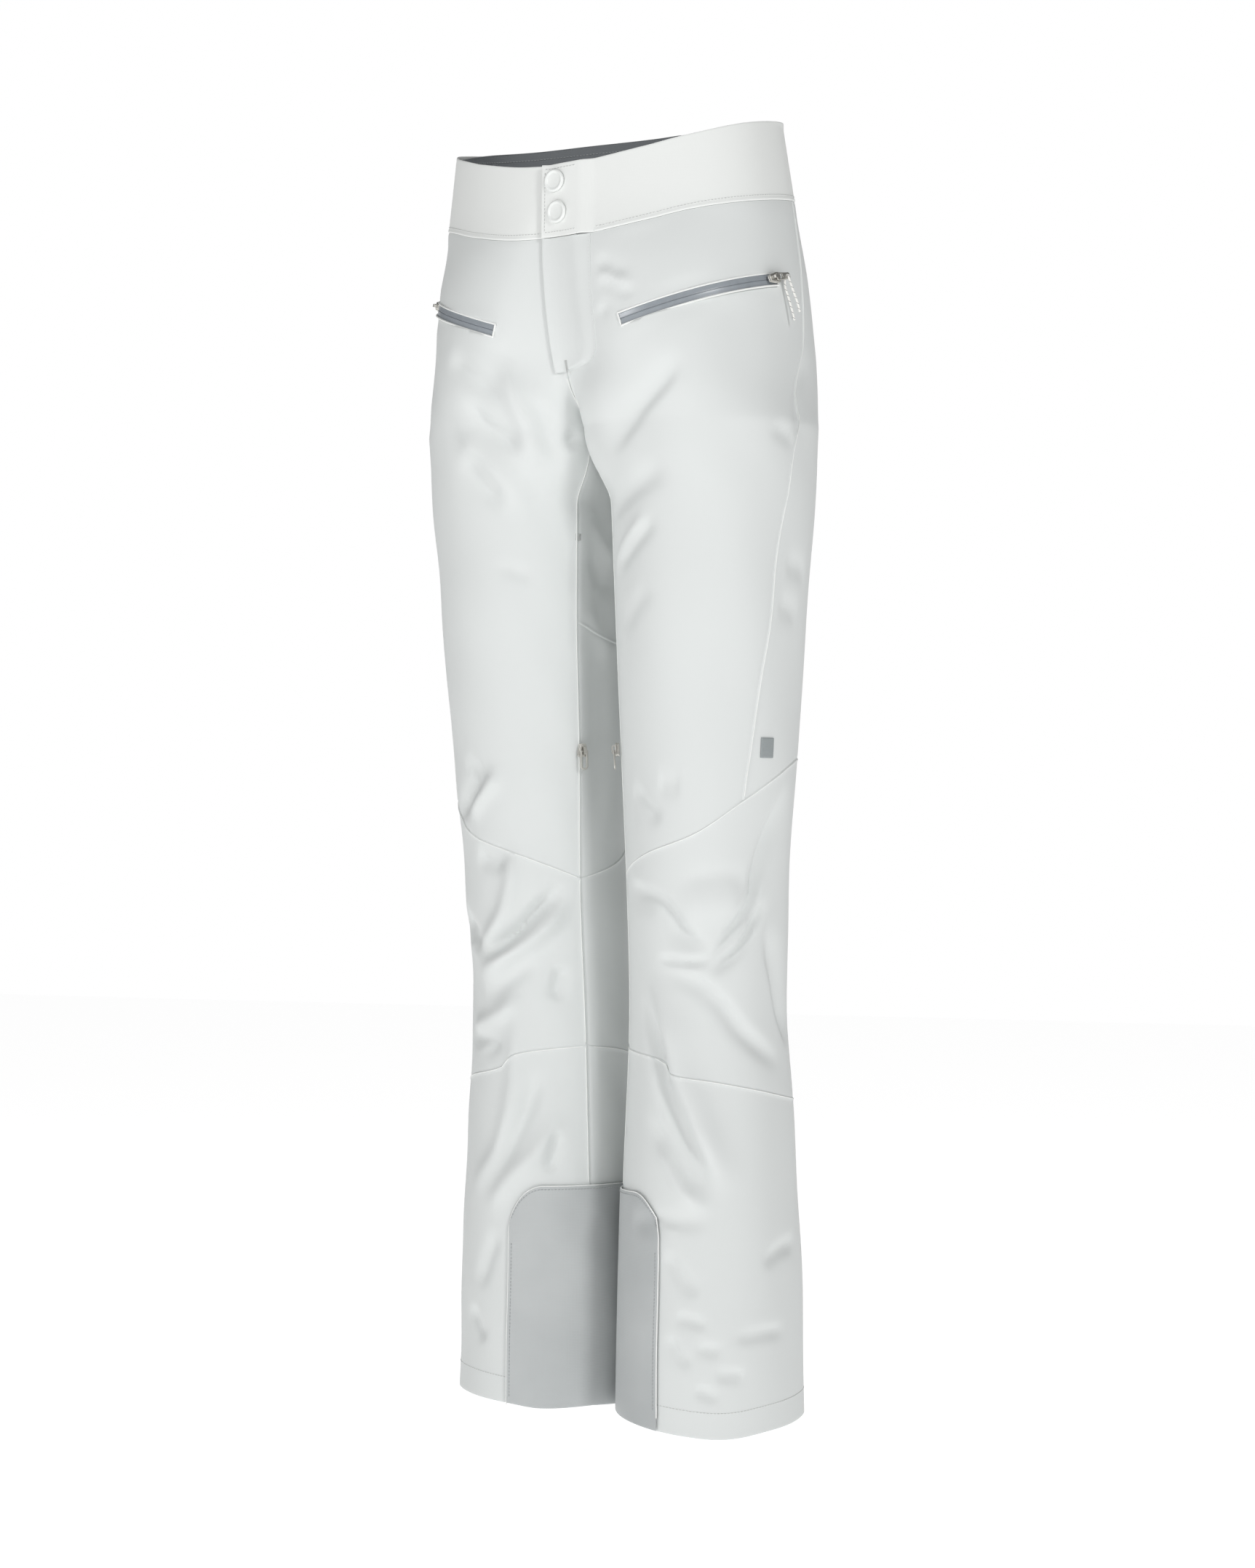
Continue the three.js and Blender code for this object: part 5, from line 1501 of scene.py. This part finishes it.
tack_rows = [along_cloth("left", [(0.006 + d, 851), (0.006 + d, 861)], 3.2, 1.0)
             for d in np.arange(0, 0.006, 0.0015)]
thigh_part(dashes("fly_tack", tack_rows, length=TACK_STITCH))
for made in (waist_stitches, tab_stitches, lining_stitches, j_stitches):
    print(made.name, len(made.data.polygons), "faces")

# %% [markdown]
# ## Floor and light
# The trousers stand in the air as they are worn, over a plain pale floor. Behind them is the
# bright backdrop of a studio, and the rest of the room is dimmer, so the sides turn a little
# darker. Two soft lights stand high in front. They draw the folds and leave the inner thighs
# darker than the rest.

# %% Floor and light
FLOOR_DROP = 0.045
FLOOR_SIZE = 8
LOWEST = -1.0519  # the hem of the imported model
BACKDROP = 1.0
ROOM = 0.12
LAMP_SIZE = 0.7
AIM = (0.0, 0.0, -0.5)
LAMPS = {"key": ((2.75, -1.45, 0.9), 34), "fill": ((-0.6, -2.9, 0.7), 26)}  # place, watts

bm = bmesh.new()
bmesh.ops.create_grid(bm, x_segments=8, y_segments=8, size=FLOOR_SIZE)
bmesh.ops.translate(bm, verts=bm.verts[:], vec=(0, 0, LOWEST - FLOOR_DROP))
floor_finish = speckled("pale_floor", 0xF2F2F2, 0xF0F0F0, 3.0, 0.01, Roughness=0.9,
                        Emission_Color=colour(0xFFFFFF), Emission_Strength=0.85)
floor = finished("floor", bm, floor_finish)

world = bpy.data.worlds.new("studio")
world.use_nodes = True
studio = world.node_tree
facing = node(studio, "ShaderNodeVectorMath", {"operation": "DOT_PRODUCT"},
              i0=node(studio, "ShaderNodeTexCoord").outputs["Generated"],
              i1=(-math.sin(TURN), math.cos(TURN), 0))
shade = node(studio, "ShaderNodeMapRange", Value=facing.outputs["Value"], From_Min=0.9,
             From_Max=0.955, To_Min=ROOM, To_Max=BACKDROP)
sky = studio.nodes["Background"]
sky.inputs["Color"].default_value = colour(0xFFFFFF)
studio.links.new(shade.outputs["Result"], sky.inputs["Strength"])
bpy.context.scene.world = world

for name, (place, power) in LAMPS.items():
    data = bpy.data.lights.new(name, "AREA")
    data.shape = "DISK"
    data.size = LAMP_SIZE
    data.energy = power
    lamp = bpy.data.objects.new(name, data)
    lamp.location = place
    way = Vector(AIM) - Vector(place)
    lamp.rotation_euler = way.to_track_quat("-Z", "Y").to_euler()
    bpy.context.scene.collection.objects.link(lamp)
bpy.context.scene.view_settings.view_transform = "Standard"
